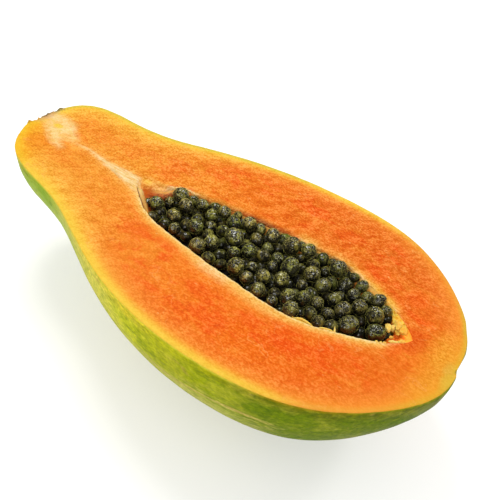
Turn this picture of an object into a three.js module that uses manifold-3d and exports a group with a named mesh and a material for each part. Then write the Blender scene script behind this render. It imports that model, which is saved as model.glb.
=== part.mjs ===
// A ripe papaya cut in half along its length, lying on its skin with the cut face up and its seeds in the cavity.
// Millimetres. +X runs from the stem end to the blossom end, +Z up out of the cut face.
// The origin is on the small flat spot that the half rests on, below the middle of its box.
import * as THREE from "three";
import { mergeVertices } from "three/addons/utils/BufferGeometryUtils.js";
import Module from "manifold-3d";

// ---- driving dimensions ----
const CUT_HEIGHT = 64; // cut face above the resting flat
const DEPTH_SCALE = 1.005; // depth of the half over its half width
const SKIN_SIDES = 56; // facets round the whole fruit
const SKIN_STATIONS = 46; // rings along the fruit
const CAVITY_SIDES = 28;
const CAVITY_STATIONS = 22;
const SEED_DETAIL = 1; // 80 faces a seed
const SEED_ASPECT = [1.0, 0.93, 0.9]; // a seed's half axes over its radius
const SEED_GAP = 0.3; // clear space round a loose seed
const BED_TOP = 57.5; // height of the jelly that joins the lower seeds
const BED_GAP = 0.4; // clear space from the bed to the cavity wall
const BED_LOWEST_BUMP = 57.2; // seeds centred lower than this are lost in the jelly

// Half width of the fruit along its length: [x, radius].
const PROFILE = [
  [-115, 0], [-114.9, 5], [-114.5, 10], [-113.4, 15.1], [-111.9, 19.2], [-110.4, 21.9],
  [-108.9, 23.9], [-105.9, 26.8], [-102, 29.3], [-98, 31], [-91, 32.85], [-84, 33.9],
  [-77, 34.9], [-70, 36.2], [-63, 38.1], [-56, 40.8], [-49, 44], [-42, 47.3],
  [-35, 50.6], [-28, 53.5], [-21, 56.1], [-14, 58.3], [-7, 60.2], [0, 61.75],
  [7, 63], [14, 64], [21, 64.6], [28, 65], [35, 65.05], [42, 64.8],
  [49, 64.2], [56, 63.2], [63, 61.6], [70, 59.3], [77, 56.1], [84, 51.8],
  [91, 46.4], [98, 39.6], [103, 33.9], [106, 29.9], [109, 25.5], [112, 20],
  [113.5, 16.1], [114.7, 10.5], [115, 5], [115, 0],
];

// The fruit's middle line bends slightly sideways towards the stem: [x, y].
const MIDLINE = [
  [-115, 11.4], [-105, 9.8], [-91, 7.6], [-77, 5.7], [-63, 4.0], [-49, 2.6],
  [-35, 1.6], [-14, 0.5], [7, 0], [28, -0.1], [56, 0.3], [84, 0.3], [98, 0], [115, -1],
];

// Half width of the seed cavity, which is round in section: [x, radius].
const CAVITY = [
  [-46.7, 0], [-43.7, 2.6], [-38.7, 6.5], [-33.7, 10.2], [-27.7, 12.9], [-20.7, 14.6],
  [-14.7, 15.7], [-8.2, 16.9], [-1.7, 17.9], [4.3, 18.9], [11.3, 19.6], [16.3, 20],
  [24.3, 20.9], [31.9, 21.5], [37.3, 21.8], [44.8, 21.9], [50.3, 21.5], [58.3, 19.9],
  [64.3, 18], [68.3, 16.6], [74.9, 14], [81.8, 10.6], [86, 8], [91.3, 3.6], [93.8, 0],
];

// Loose seeds, each with its jelly coat: [x, y, height of the centre, radius].
const SEEDS = [
  [-33.8, -1, 61, 3.25], [-31.2, 5.6, 59, 2.61], [-28, 9.2, 63.7, 3.46], [-23.1, -2.2, 61, 2.95],
  [-22.4, 5.8, 62, 3.08], [-18.3, -7.9, 59.5, 2.58], [-17.5, 11.7, 62.5, 2.85], [-11.4, -2.5, 62, 3.33],
  [-10.4, 9.4, 61.5, 2.82], [-7.4, 5.1, 58.5, 2.72], [-6.6, 14, 63.2, 2.77], [-3.6, -11.4, 61.2, 3.41],
  [-0.5, -5.1, 60.3, 3.32], [-0.3, 12.4, 61.5, 3.15], [5.7, 3.3, 62.5, 3.85], [5.9, 15.5, 62.8, 3.19],
  [10.3, -3.2, 60, 2.82], [11.5, 16.8, 61.9, 2.38], [12.8, 12.1, 59.4, 2.75], [15.2, 1.3, 61.5, 3.27],
  [16, -10.6, 61, 3.66], [18.1, 16.7, 62.4, 3.12], [19.4, 10.8, 59, 2.51], [20.8, -4.5, 59, 2.5],
  [22.5, -12.2, 60, 2.76], [26.5, 7.6, 59.5, 2.68], [27.2, 2.3, 58.5, 2.45], [27.9, 17, 62.3, 3.78],
  [28, -7.6, 61, 3.09], [30.3, -15.1, 60.5, 2.95], [34.1, 5.3, 61.5, 3.81], [35.1, -4.2, 60.5, 3.41],
  [35.8, 18.2, 63.5, 3.19], [37.5, -15.4, 59, 2.4], [42.3, -10.7, 60.5, 3.1], [42.8, 1.3, 59, 2.4],
  [43.7, 7.6, 62, 3.43], [46.6, 16.2, 58.8, 2.54], [46.8, -16.4, 61, 3.42], [47.7, -7.4, 61.1, 2.95],
  [50.7, 4.1, 62.1, 3.1], [51.5, 17, 63.3, 3.87], [53.1, -4.8, 59.9, 2.84], [57.1, 15, 58.2, 3.69],
  [58.1, 2.4, 60.7, 2.92], [59.4, -6.1, 58.6, 2.94], [63.4, 9.5, 60.8, 2.92], [63.4, -1.6, 60.8, 3.17],
  [64, 15, 62.5, 2.62], [68.6, 4.2, 61.5, 3.32], [68.8, 12.6, 60.2, 2.92], [69.1, -7.3, 61, 3.72],
  [73.6, 11.4, 63.6, 2.74], [75.9, 3.3, 62, 3.64], [78.4, 9.2, 62.1, 2.47], [79.7, -3.8, 61, 3.56],
];

// Seeds of the layer below, held together by their jelly: the same four numbers.
const BED_SEEDS = [
  [-26.8, -4.9, 58, 2.12], [-25.8, 2.2, 57.5, 3], [-20.6, -4.2, 55.5, 3], [-20.6, 3.6, 56.2, 3],
  [-16.7, -1, 58.2, 3], [-16.7, 8.1, 57.5, 3], [-14.1, -4.1, 53.2, 3], [-14.1, 3.7, 60, 3],
  [-12.4, -7, 58, 2.49], [-11.5, 0.6, 56, 3], [-11.5, 8.4, 55.5, 3], [-8.9, 4, 52.5, 3],
  [-6.3, -5.5, 57, 3], [-5, -0.5, 58.8, 3], [-5, 11.2, 57.2, 3], [-3.7, 3.2, 54, 3],
  [-1.1, 5.4, 60, 3], [0.2, 9.1, 55.8, 3], [1.5, -9.3, 55.5, 3], [1.5, -4.1, 54, 3],
  [1.5, 1.1, 57, 3], [4.1, -13.7, 60, 3], [5.4, -6, 57.2, 3], [5.4, 9.6, 59, 3],
  [6.7, -10, 52.8, 3], [8, 13.2, 55.8, 3], [9, -11.2, 58, 2.42], [9.3, -3.8, 53.8, 3],
  [9.3, 1.4, 56, 3], [10.6, 6.5, 58.2, 3], [13.2, -8.1, 55, 3], [15.8, -3.1, 56.2, 3],
  [15.8, 6, 56.8, 3], [15.8, 12.5, 54, 3], [17.1, -13.6, 54.8, 3], [19.7, -8.7, 55, 3],
  [21, -3.6, 53, 3], [21, 4.2, 60, 3], [21, 6.8, 55, 3], [22.3, 1.4, 55.5, 3],
  [22.3, 15.7, 57.5, 3], [24.9, -6.6, 55.2, 3], [26.2, -14.6, 55.8, 3], [26.2, 8.8, 53.5, 3],
  [28.8, -3.1, 56.5, 3], [28.8, 12.5, 56.8, 3], [30.1, 2, 53.5, 3], [31.4, -11.1, 55.8, 3],
  [31.4, 7.1, 55, 3], [33.5, 16.1, 58.5, 2.42], [36.6, -14, 53.5, 3], [36.6, -10.1, 57.2, 3],
  [36.6, 0.3, 55.8, 3], [36.6, 10.7, 57.5, 3], [37.9, -4.9, 54.2, 3], [37.9, 15.9, 54.8, 3],
  [39.2, 5.5, 56.2, 3], [40.5, 14.6, 60, 3], [41.8, -10.2, 54, 3], [41.8, -1.1, 53.8, 3],
  [43.1, -15.4, 55.2, 3], [43.1, -5, 57.5, 3], [44.4, 10.6, 55.8, 3], [45.7, 2.9, 54.2, 3],
  [48.3, -0.8, 58.8, 3], [48.3, 7, 56.8, 3], [49.6, -11.1, 56.2, 3], [49.6, -4.6, 54.8, 3],
  [49.6, 12.3, 55.5, 3], [52.2, 10.1, 60, 3], [53.5, -11.8, 60, 3], [53.5, 7.7, 53.8, 3],
  [53.9, 3.6, 57.6, 2.19], [54.8, -8.9, 55.2, 3], [54.8, -2.4, 54.2, 3], [56.1, 3.1, 52.5, 3],
  [58.7, -14.6, 60, 3], [58.7, 7.5, 57, 3], [60, -5.1, 52.2, 3], [60, 0.1, 55.2, 3],
  [61.3, -11.1, 55.5, 3], [62.6, 11.4, 54.8, 3], [63.9, -12.9, 60, 3], [63.9, 4, 56.8, 3],
  [65.2, -7.3, 55, 3], [67.8, -2.5, 55.5, 3], [67.8, 7.9, 56, 3], [69.1, 3.2, 53.5, 3],
  [71.9, 0.7, 58, 2.33], [73, 8.7, 57.5, 3], [74.3, -5.1, 56.5, 3], [75.6, 4.6, 55, 3],
  [80.8, 1.9, 57, 3], [86, 1.1, 60, 3],
];

const SKIN_COLOUR = 0x8a9a2e;
const SEED_COLOUR = 0x39401f;
const BED_COLOUR = 0x22261a;

// ---- solids ----
const wasm = await Module();
wasm.setup();

function toSolid(geometry) {
  const g = geometry.clone();
  g.deleteAttribute("normal");
  g.deleteAttribute("uv");
  const merged = mergeVertices(g, 1e-4);
  const index = merged.index.array;
  const tri = [];
  for (let i = 0; i < index.length; i += 3) {
    const [a, b, c] = [index[i], index[i + 1], index[i + 2]];
    if (a !== b && b !== c && c !== a) tri.push(a, b, c);
  }
  return new wasm.Manifold(
    new wasm.Mesh({
      numProp: 3,
      vertProperties: new Float32Array(merged.attributes.position.array),
      triVerts: new Uint32Array(tri),
    }),
  );
}

function toGeometry(solid) {
  const m = solid.getMesh();
  const g = new THREE.BufferGeometry();
  g.setAttribute("position", new THREE.BufferAttribute(new Float32Array(m.vertProperties), 3));
  g.setIndex(new THREE.BufferAttribute(new Uint32Array(m.triVerts), 1));
  g.computeVertexNormals();
  return g;
}

// Value of a table of [x, value] at x, by straight lines.
function at(table, x) {
  if (x <= table[0][0]) return table[0][1];
  for (let i = 1; i < table.length; i++) {
    const [x0, v0] = table[i - 1];
    const [x1, v1] = table[i];
    if (x <= x1) return x1 === x0 ? v1 : v0 + ((v1 - v0) * (x - x0)) / (x1 - x0);
  }
  return table[table.length - 1][1];
}

// A round body about X from a table of [x, radius], with its middle at the cut height.
function turned(table, stations, sides, grow = 0) {
  const curve = new THREE.SplineCurve(table.map(([x, r]) => new THREE.Vector2(r, x)));
  const points = curve.getSpacedPoints(stations - 1);
  points.forEach((p) => {
    p.x = Math.max(p.x + grow, 0);
  });
  points[0].x = 0;
  points[points.length - 1].x = 0;
  const g = new THREE.LatheGeometry(points, sides);
  g.rotateZ(-Math.PI / 2);
  return g;
}

function box(low, high) {
  const g = new THREE.BoxGeometry(high[0] - low[0], high[1] - low[1], high[2] - low[2]);
  g.translate((low[0] + high[0]) / 2, (low[1] + high[1]) / 2, (low[2] + high[2]) / 2);
  return toSolid(g);
}

function seedGeometry(radius, turn) {
  const g = new THREE.IcosahedronGeometry(radius, SEED_DETAIL);
  g.scale(...SEED_ASPECT);
  g.rotateX(turn * 1.7);
  g.rotateY(turn * 2.3);
  g.rotateZ(turn * 3.1);
  return g;
}

function ball(x, y, z, radius) {
  const g = new THREE.IcosahedronGeometry(radius, SEED_DETAIL);
  g.translate(x, y, z);
  return toSolid(g);
}

// ---- the half fruit ----
const skin = turned(PROFILE, SKIN_STATIONS, SKIN_SIDES);
skin.scale(1, 1, DEPTH_SCALE);
{
  const p = skin.attributes.position;
  for (let i = 0; i < p.count; i++) p.setY(i, p.getY(i) + at(MIDLINE, p.getX(i)));
}
skin.translate(0, 0, CUT_HEIGHT);
const below = box([-200, -200, 0], [200, 200, CUT_HEIGHT]);
const cavity = turned(CAVITY, CAVITY_STATIONS, CAVITY_SIDES);
cavity.translate(0, 0, CUT_HEIGHT);
const half = toSolid(skin).intersect(below).subtract(toSolid(cavity));

// ---- the bed of lower seeds ----
const bedBody = turned(CAVITY, CAVITY_STATIONS, CAVITY_SIDES, -BED_GAP);
bedBody.translate(0, 0, CUT_HEIGHT);
let bed = toSolid(bedBody).intersect(box([-40, -60, 0], [88, 60, BED_TOP]));
const cavityInside = toSolid(bedBody);
for (const [x, y, z, r] of BED_SEEDS) {
  if (z < BED_LOWEST_BUMP) continue;
  bed = bed.add(ball(x, y, z, r));
}
for (const [x, y, z, r] of SEEDS) bed = bed.subtract(ball(x, y, z, r + SEED_GAP));
bed = bed.intersect(cavityInside.add(box([-60, -60, CUT_HEIGHT + 0.5], [110, 60, CUT_HEIGHT + 20])));
const bodies = bed.decompose().sort((a, b) => b.volume() - a.volume());
bed = bodies[0];

// ---- the scene ----
const group = new THREE.Group();

const flesh = new THREE.Mesh(
  toGeometry(half),
  new THREE.MeshStandardMaterial({ color: SKIN_COLOUR, roughness: 0.45, metalness: 0 }),
);
flesh.name = "papaya_half";
group.add(flesh);

const bedMesh = new THREE.Mesh(
  toGeometry(bed),
  new THREE.MeshStandardMaterial({ color: BED_COLOUR, roughness: 0.3, metalness: 0 }),
);
bedMesh.name = "seed_bed";
group.add(bedMesh);

const seeds = new THREE.Group();
const seedMaterial = new THREE.MeshStandardMaterial({ color: SEED_COLOUR, roughness: 0.25, metalness: 0 });
SEEDS.forEach(([x, y, z, r], i) => {
  const seed = new THREE.Mesh(seedGeometry(r, i + 1), seedMaterial);
  seed.name = "seed_" + String(i + 1).padStart(2, "0");
  seed.position.set(x, y, z);
  seeds.add(seed);
});
group.add(seeds);

export default group;
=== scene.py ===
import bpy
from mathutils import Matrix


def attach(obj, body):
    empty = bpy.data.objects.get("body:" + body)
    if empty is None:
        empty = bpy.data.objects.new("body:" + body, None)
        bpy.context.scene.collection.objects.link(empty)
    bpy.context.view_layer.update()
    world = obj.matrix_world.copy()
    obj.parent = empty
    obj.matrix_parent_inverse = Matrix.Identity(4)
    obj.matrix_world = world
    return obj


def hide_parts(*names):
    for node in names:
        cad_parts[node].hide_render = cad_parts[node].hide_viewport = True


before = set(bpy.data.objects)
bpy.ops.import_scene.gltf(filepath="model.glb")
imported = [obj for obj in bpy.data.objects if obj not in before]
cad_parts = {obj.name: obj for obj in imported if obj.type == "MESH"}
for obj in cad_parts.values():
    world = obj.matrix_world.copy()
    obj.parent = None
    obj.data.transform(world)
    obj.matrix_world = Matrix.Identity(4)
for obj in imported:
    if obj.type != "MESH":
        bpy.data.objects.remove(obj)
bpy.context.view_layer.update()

import math

import bpy
import numpy as np
from mathutils import Matrix, Vector

# A papaya cut in half along its length, cut face up, with its seeds.
# Everything is worked out in millimetres in the row frame and written to Blender in metres.

CUT = 64.0          # height of the cut face
DEPTH_SCALE = 1.005
SEED_ASPECT = np.array([1.0, 0.93, 0.9])

PROFILE = [
    [-115, 0], [-114.9, 5], [-114.5, 10], [-113.4, 15.1], [-111.9, 19.2], [-110.4, 21.9],
    [-108.9, 23.9], [-105.9, 26.8], [-102, 29.3], [-98, 31], [-91, 32.85], [-84, 33.9],
    [-77, 34.9], [-70, 36.2], [-63, 38.1], [-56, 40.8], [-49, 44], [-42, 47.3],
    [-35, 50.6], [-28, 53.5], [-21, 56.1], [-14, 58.3], [-7, 60.2], [0, 61.75],
    [7, 63], [14, 64], [21, 64.6], [28, 65], [35, 65.05], [42, 64.8],
    [49, 64.2], [56, 63.2], [63, 61.6], [70, 59.3], [77, 56.1], [84, 51.8],
    [91, 46.4], [98, 39.6], [103, 33.9], [106, 29.9], [109, 25.5], [112, 20],
    [113.5, 16.1], [114.7, 10.5], [115, 5], [115, 0],
]
MIDLINE = [
    [-115, 11.4], [-105, 9.8], [-91, 7.6], [-77, 5.7], [-63, 4.0], [-49, 2.6],
    [-35, 1.6], [-14, 0.5], [7, 0], [28, -0.1], [56, 0.3], [84, 0.3], [98, 0], [115, -1],
]
CAVITY = [
    [-46.7, 0], [-43.7, 2.6], [-38.7, 6.5], [-33.7, 10.2], [-27.7, 12.9], [-20.7, 14.6],
    [-14.7, 15.7], [-8.2, 16.9], [-1.7, 17.9], [4.3, 18.9], [11.3, 19.6], [16.3, 20],
    [24.3, 20.9], [31.9, 21.5], [37.3, 21.8], [44.8, 21.9], [50.3, 21.5], [58.3, 19.9],
    [64.3, 18], [68.3, 16.6], [74.9, 14], [81.8, 10.6], [86, 8], [91.3, 3.6], [93.8, 0],
]
SEEDS = [
    [-33.8, -1, 61, 3.25], [-31.2, 5.6, 59, 2.61], [-28, 9.2, 63.7, 3.46], [-23.1, -2.2, 61, 2.95],
    [-22.4, 5.8, 62, 3.08], [-18.3, -7.9, 59.5, 2.58], [-17.5, 11.7, 62.5, 2.85], [-11.4, -2.5, 62, 3.33],
    [-10.4, 9.4, 61.5, 2.82], [-7.4, 5.1, 58.5, 2.72], [-6.6, 14, 63.2, 2.77], [-3.6, -11.4, 61.2, 3.41],
    [-0.5, -5.1, 60.3, 3.32], [-0.3, 12.4, 61.5, 3.15], [5.7, 3.3, 62.5, 3.85], [5.9, 15.5, 62.8, 3.19],
    [10.3, -3.2, 60, 2.82], [11.5, 16.8, 61.9, 2.38], [12.8, 12.1, 59.4, 2.75], [15.2, 1.3, 61.5, 3.27],
    [16, -10.6, 61, 3.66], [18.1, 16.7, 62.4, 3.12], [19.4, 10.8, 59, 2.51], [20.8, -4.5, 59, 2.5],
    [22.5, -12.2, 60, 2.76], [26.5, 7.6, 59.5, 2.68], [27.2, 2.3, 58.5, 2.45], [27.9, 17, 62.3, 3.78],
    [28, -7.6, 61, 3.09], [30.3, -15.1, 60.5, 2.95], [34.1, 5.3, 61.5, 3.81], [35.1, -4.2, 60.5, 3.41],
    [35.8, 18.2, 63.5, 3.19], [37.5, -15.4, 59, 2.4], [42.3, -10.7, 60.5, 3.1], [42.8, 1.3, 59, 2.4],
    [43.7, 7.6, 62, 3.43], [46.6, 16.2, 58.8, 2.54], [46.8, -16.4, 61, 3.42], [47.7, -7.4, 61.1, 2.95],
    [50.7, 4.1, 62.1, 3.1], [51.5, 17, 63.3, 3.87], [53.1, -4.8, 59.9, 2.84], [57.1, 15, 58.2, 3.69],
    [58.1, 2.4, 60.7, 2.92], [59.4, -6.1, 58.6, 2.94], [63.4, 9.5, 60.8, 2.92], [63.4, -1.6, 60.8, 3.17],
    [64, 15, 62.5, 2.62], [68.6, 4.2, 61.5, 3.32], [68.8, 12.6, 60.2, 2.92], [69.1, -7.3, 61, 3.72],
    [73.6, 11.4, 63.6, 2.74], [75.9, 3.3, 62, 3.64], [78.4, 9.2, 62.1, 2.47], [79.7, -3.8, 61, 3.56],
]
BED_SEEDS = [
    [-26.8, -4.9, 58, 2.12], [-25.8, 2.2, 57.5, 3], [-20.6, -4.2, 55.5, 3], [-20.6, 3.6, 56.2, 3],
    [-16.7, -1, 58.2, 3], [-16.7, 8.1, 57.5, 3], [-14.1, -4.1, 53.2, 3], [-14.1, 3.7, 60, 3],
    [-12.4, -7, 58, 2.49], [-11.5, 0.6, 56, 3], [-11.5, 8.4, 55.5, 3], [-8.9, 4, 52.5, 3],
    [-6.3, -5.5, 57, 3], [-5, -0.5, 58.8, 3], [-5, 11.2, 57.2, 3], [-3.7, 3.2, 54, 3],
    [-1.1, 5.4, 60, 3], [0.2, 9.1, 55.8, 3], [1.5, -9.3, 55.5, 3], [1.5, -4.1, 54, 3],
    [1.5, 1.1, 57, 3], [4.1, -13.7, 60, 3], [5.4, -6, 57.2, 3], [5.4, 9.6, 59, 3],
    [6.7, -10, 52.8, 3], [8, 13.2, 55.8, 3], [9, -11.2, 58, 2.42], [9.3, -3.8, 53.8, 3],
    [9.3, 1.4, 56, 3], [10.6, 6.5, 58.2, 3], [13.2, -8.1, 55, 3], [15.8, -3.1, 56.2, 3],
    [15.8, 6, 56.8, 3], [15.8, 12.5, 54, 3], [17.1, -13.6, 54.8, 3], [19.7, -8.7, 55, 3],
    [21, -3.6, 53, 3], [21, 4.2, 60, 3], [21, 6.8, 55, 3], [22.3, 1.4, 55.5, 3],
    [22.3, 15.7, 57.5, 3], [24.9, -6.6, 55.2, 3], [26.2, -14.6, 55.8, 3], [26.2, 8.8, 53.5, 3],
    [28.8, -3.1, 56.5, 3], [28.8, 12.5, 56.8, 3], [30.1, 2, 53.5, 3], [31.4, -11.1, 55.8, 3],
    [31.4, 7.1, 55, 3], [33.5, 16.1, 58.5, 2.42], [36.6, -14, 53.5, 3], [36.6, -10.1, 57.2, 3],
    [36.6, 0.3, 55.8, 3], [36.6, 10.7, 57.5, 3], [37.9, -4.9, 54.2, 3], [37.9, 15.9, 54.8, 3],
    [39.2, 5.5, 56.2, 3], [40.5, 14.6, 60, 3], [41.8, -10.2, 54, 3], [41.8, -1.1, 53.8, 3],
    [43.1, -15.4, 55.2, 3], [43.1, -5, 57.5, 3], [44.4, 10.6, 55.8, 3], [45.7, 2.9, 54.2, 3],
    [48.3, -0.8, 58.8, 3], [48.3, 7, 56.8, 3], [49.6, -11.1, 56.2, 3], [49.6, -4.6, 54.8, 3],
    [49.6, 12.3, 55.5, 3], [52.2, 10.1, 60, 3], [53.5, -11.8, 60, 3], [53.5, 7.7, 53.8, 3],
    [53.9, 3.6, 57.6, 2.19], [54.8, -8.9, 55.2, 3], [54.8, -2.4, 54.2, 3], [56.1, 3.1, 52.5, 3],
    [58.7, -14.6, 60, 3], [58.7, 7.5, 57, 3], [60, -5.1, 52.2, 3], [60, 0.1, 55.2, 3],
    [61.3, -11.1, 55.5, 3], [62.6, 11.4, 54.8, 3], [63.9, -12.9, 60, 3], [63.9, 4, 56.8, 3],
    [65.2, -7.3, 55, 3], [67.8, -2.5, 55.5, 3], [67.8, 7.9, 56, 3], [69.1, 3.2, 53.5, 3],
    [71.9, 0.7, 58, 2.33], [73, 8.7, 57.5, 3], [74.3, -5.1, 56.5, 3], [75.6, 4.6, 55, 3],
    [80.8, 1.9, 57, 3], [83.8, 0.8, 58, 2.8],
    # those that show between the seeds on top and against the wall
    [-38, -1.8, 58.7, 3.1], [-30.8, -1.8, 57.5, 3.1], [-30.8, -8.2, 58.7, 3.1], [-29.2, 9.4, 58.7, 3.1],
    [-24.4, -7.4, 57.5, 3.1], [-22.8, 11.8, 61, 3.1], [-20.4, 8.6, 58.7, 2.3], [-15.6, -6.6, 57.5, 2.3],
    [-14.8, 12.6, 57.5, 2.3], [-12.4, 14.2, 61, 3.1], [-7.6, 13.4, 58.7, 3.1], [-3.6, -8.2, 57.5, 3.1],
    [-1.2, 16.6, 62, 2.3], [2, 15.8, 59.9, 2.7], [6, 2.2, 57.5, 3.1], [6.8, 16.6, 58.7, 2.7],
    [15.6, 16.6, 57.5, 3.1], [17.2, 1.4, 57.5, 2.3], [22.8, 19, 61, 3.1], [27.6, 18.2, 57.5, 3.1],
    [31.6, 19.8, 62, 2.3], [32.4, -5.8, 57.5, 2.3], [38, 19.8, 59.9, 2.7], [42.8, 19.8, 61, 3.1],
    [47.6, 19.8, 62, 2.3], [54.8, 19, 61, 2.3], [58.8, 18.2, 62, 2.3], [62, -3.4, 57.5, 2.3],
    [80.4, 8.6, 58.7, 2.7],
]

# Cream tissue on the cut face, as outlines in x, y.
SCAR_PATCH = [
    (-116, 10.7), (-109.8, 5.9), (-103, 0.4), (-97, -3.1), (-91, -4.0), (-89.7, -1.4), (-95, 1.5),
    (-93.1, 3.6), (-88.9, 4.5), (-88.4, 7.5), (-93.8, 11.8), (-98.3, 17.4), (-104.3, 18.9),
    (-110.4, 19.0), (-116, 17.4),
]
# The hollow that runs from the end of the strand into the cavity.
POCKET = [
    (-48.9, 4.6), (-48.2, 7.6), (-45.4, 9.0), (-41.0, 8.9), (-36.0, 10.4), (-31.0, 12.6),
    (-31.0, 9.0), (-38.0, 4.0), (-45.5, -0.5), (-47.6, 1.5),
]
STEM_EDGE = np.array([(-116.3, 0.4), (-116.2, 3.6), (-115.9, 8.4), (-114.5, 12.0), (-115.0, 16.6), (-113.0, 22.4)])
STRAND = [
    (-89.5, 5.3), (-82, 6.2), (-75.9, 6.0), (-68.6, 5.3), (-62.8, 5.5), (-57, 5.9), (-51.5, 6.2), (-48.3, 5.6),
    (-46.4, 2.2), (-45.3, -1.4), (-43.4, -3.6), (-44.6, -4.2), (-48.9, -3.2), (-55.7, -1.3), (-63.4, 0.3),
    (-72.1, 2.4), (-80, 4.7), (-88, 4.4),
]
# Bits of pulp that tore loose: place, half lengths, turn about the vertical in degrees, and paleness.
PULP = [
    (82.9, 1.9, 61.7, 2.3, 1.4, 1.2, -66, 0.95), (84.3, 3.0, 61.9, 1.9, 1.15, 1.0, -72, 0.8),
    (86.2, 5.0, 62.3, 3.2, 1.8, 1.3, -62, 0.55), (88.6, 4.3, 62.4, 3.1, 1.8, 1.3, -74, 0.40),
    (87.1, 2.4, 61.4, 1.5, 1.0, 0.8, -40, 0.45), (88.1, -5.0, 62.9, 2.3, 0.8, 0.7, 34, 0.95),
    (90.2, -3.0, 62.9, 1.7, 0.8, 0.7, 48, 0.85), (86.0, -2.6, 62.0, 0.9, 0.7, 0.7, 20, 0.5),
    (82.3, -9.7, 63.0, 0.75, 0.55, 0.5, 10, 0.55), (83.7, -9.0, 63.0, 0.7, 0.5, 0.5, 60, 0.5),
    (85.1, -8.1, 63.0, 0.85, 0.5, 0.5, 35, 0.6),
    (53.8, -21.1, 62.9, 3.7, 0.85, 0.55, 12, 0.12), (63.6, -18.5, 62.9, 2.8, 0.7, 0.5, 19, 0.2),
]
# Slivers that peeled off the cavity's near edge, as points along each with its half thickness.
SLIVERS = [
    [(49.8, -21.6, 62.8, .15), (51.2, -21.0, 63.3, .45), (52.8, -20.4, 63.7, .55), (54.8, -20.1, 63.6, .55),
     (56.8, -20.0, 63.3, .45), (58.8, -19.9, 62.8, .15)],
    [(60.2, -19.4, 62.8, .15), (61.8, -18.6, 63.3, .42), (63.4, -18.0, 63.5, .48), (65.0, -17.5, 63.4, .45), (67.2, -16.9, 62.8, .2)],
    [(67.0, -17.3, 62.8, .8), (66.6, -16.5, 63.4, .6), (66.2, -15.8, 63.9, .36), (65.9, -15.2, 64.4, .1)],
]


# ---------------------------------------------------------------- numbers
def perlin(p, seed):
    """Smooth gradient noise in -1..1 at points p, one unit a cell."""
    rng = np.random.RandomState(seed)
    perm = rng.permutation(256)
    perm = np.concatenate([perm, perm])
    g = rng.normal(size=(256, 3))
    g /= np.linalg.norm(g, axis=1)[:, None]
    i = np.floor(p).astype(np.int64)
    f = p - i
    i &= 255
    w = f * f * f * (f * (f * 6 - 15) + 10)
    out = np.zeros(len(p))
    for dx in (0, 1):
        for dy in (0, 1):
            for dz in (0, 1):
                h = perm[(perm[(perm[(i[:, 0] + dx) & 255] + i[:, 1] + dy) & 255] + i[:, 2] + dz) & 255]
                d = f - np.array([dx, dy, dz])
                k = (w[:, 0] if dx else 1 - w[:, 0]) * (w[:, 1] if dy else 1 - w[:, 1]) * (w[:, 2] if dz else 1 - w[:, 2])
                out += k * (g[h] * d).sum(1)
    return out * 1.6


def fbm(p, scale, octaves, seed, gain=0.5):
    out, amp, total = 0.0, 1.0, 0.0
    for o in range(octaves):
        out = out + amp * perlin(p * scale * 2.03 ** o + 17.3 * o, seed + o)
        total += amp
        amp *= gain
    return out / total


def smooth(t, lo=0.0, hi=1.0):
    t = np.clip((t - lo) / (hi - lo), 0, 1)
    return t * t * (3 - 2 * t)


def spline(table, n):
    """n points evenly spaced along the smooth curve through a table."""
    t = np.array(table, float)
    m = len(t) - 1
    u = np.linspace(0, m, 60 * m + 1)
    i = np.minimum(u.astype(int), m - 1)
    w = (u - i)[:, None]
    p0, p1, p2, p3 = t[np.maximum(i - 1, 0)], t[i], t[i + 1], t[np.minimum(i + 2, m)]
    v0, v1 = (p2 - p0) / 2, (p3 - p1) / 2
    q = (2 * p1 - 2 * p2 + v0 + v1) * w ** 3 + (-3 * p1 + 3 * p2 - 2 * v0 - v1) * w ** 2 + v0 * w + p1
    s = np.concatenate([[0], np.cumsum(np.linalg.norm(np.diff(q, axis=0), axis=1))])
    e = np.linspace(0, s[-1], n)
    return np.stack([np.interp(e, s, q[:, 0]), np.interp(e, s, q[:, 1])], 1), e


def segment_distance(p, ring, closed=True):
    """Distance from each 2-D point to a polyline."""
    a = np.asarray(ring, float)
    b = np.roll(a, -1, axis=0) if closed else a[1:]
    if not closed:
        a = a[:-1]
    ab = b - a
    ll = np.maximum((ab ** 2).sum(1), 1e-12)
    out = np.empty(len(p))
    for s in range(0, len(p), 4000):
        q = p[s:s + 4000, None, :] - a[None]
        t = np.clip((q * ab[None]).sum(2) / ll, 0, 1)
        d = q - t[..., None] * ab[None]
        out[s:s + 4000] = np.sqrt((d ** 2).sum(2).min(1))
    return out


def inside(p, poly):
    a = np.asarray(poly, float)
    b = np.roll(a, -1, axis=0)
    n = np.zeros(len(p), int)
    for (x0, y0), (x1, y1) in zip(a, b):
        if y0 == y1:
            continue
        hit = ((p[:, 1] < y0) != (p[:, 1] < y1)) & (p[:, 0] < (x1 - x0) * (p[:, 1] - y0) / (y1 - y0) + x0)
        n += hit
    return n % 2 == 1


def signed(p, poly):
    """Distance to an outline, negative inside it."""
    d = segment_distance(p, poly)
    return np.where(inside(p, poly), -d, d)


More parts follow.
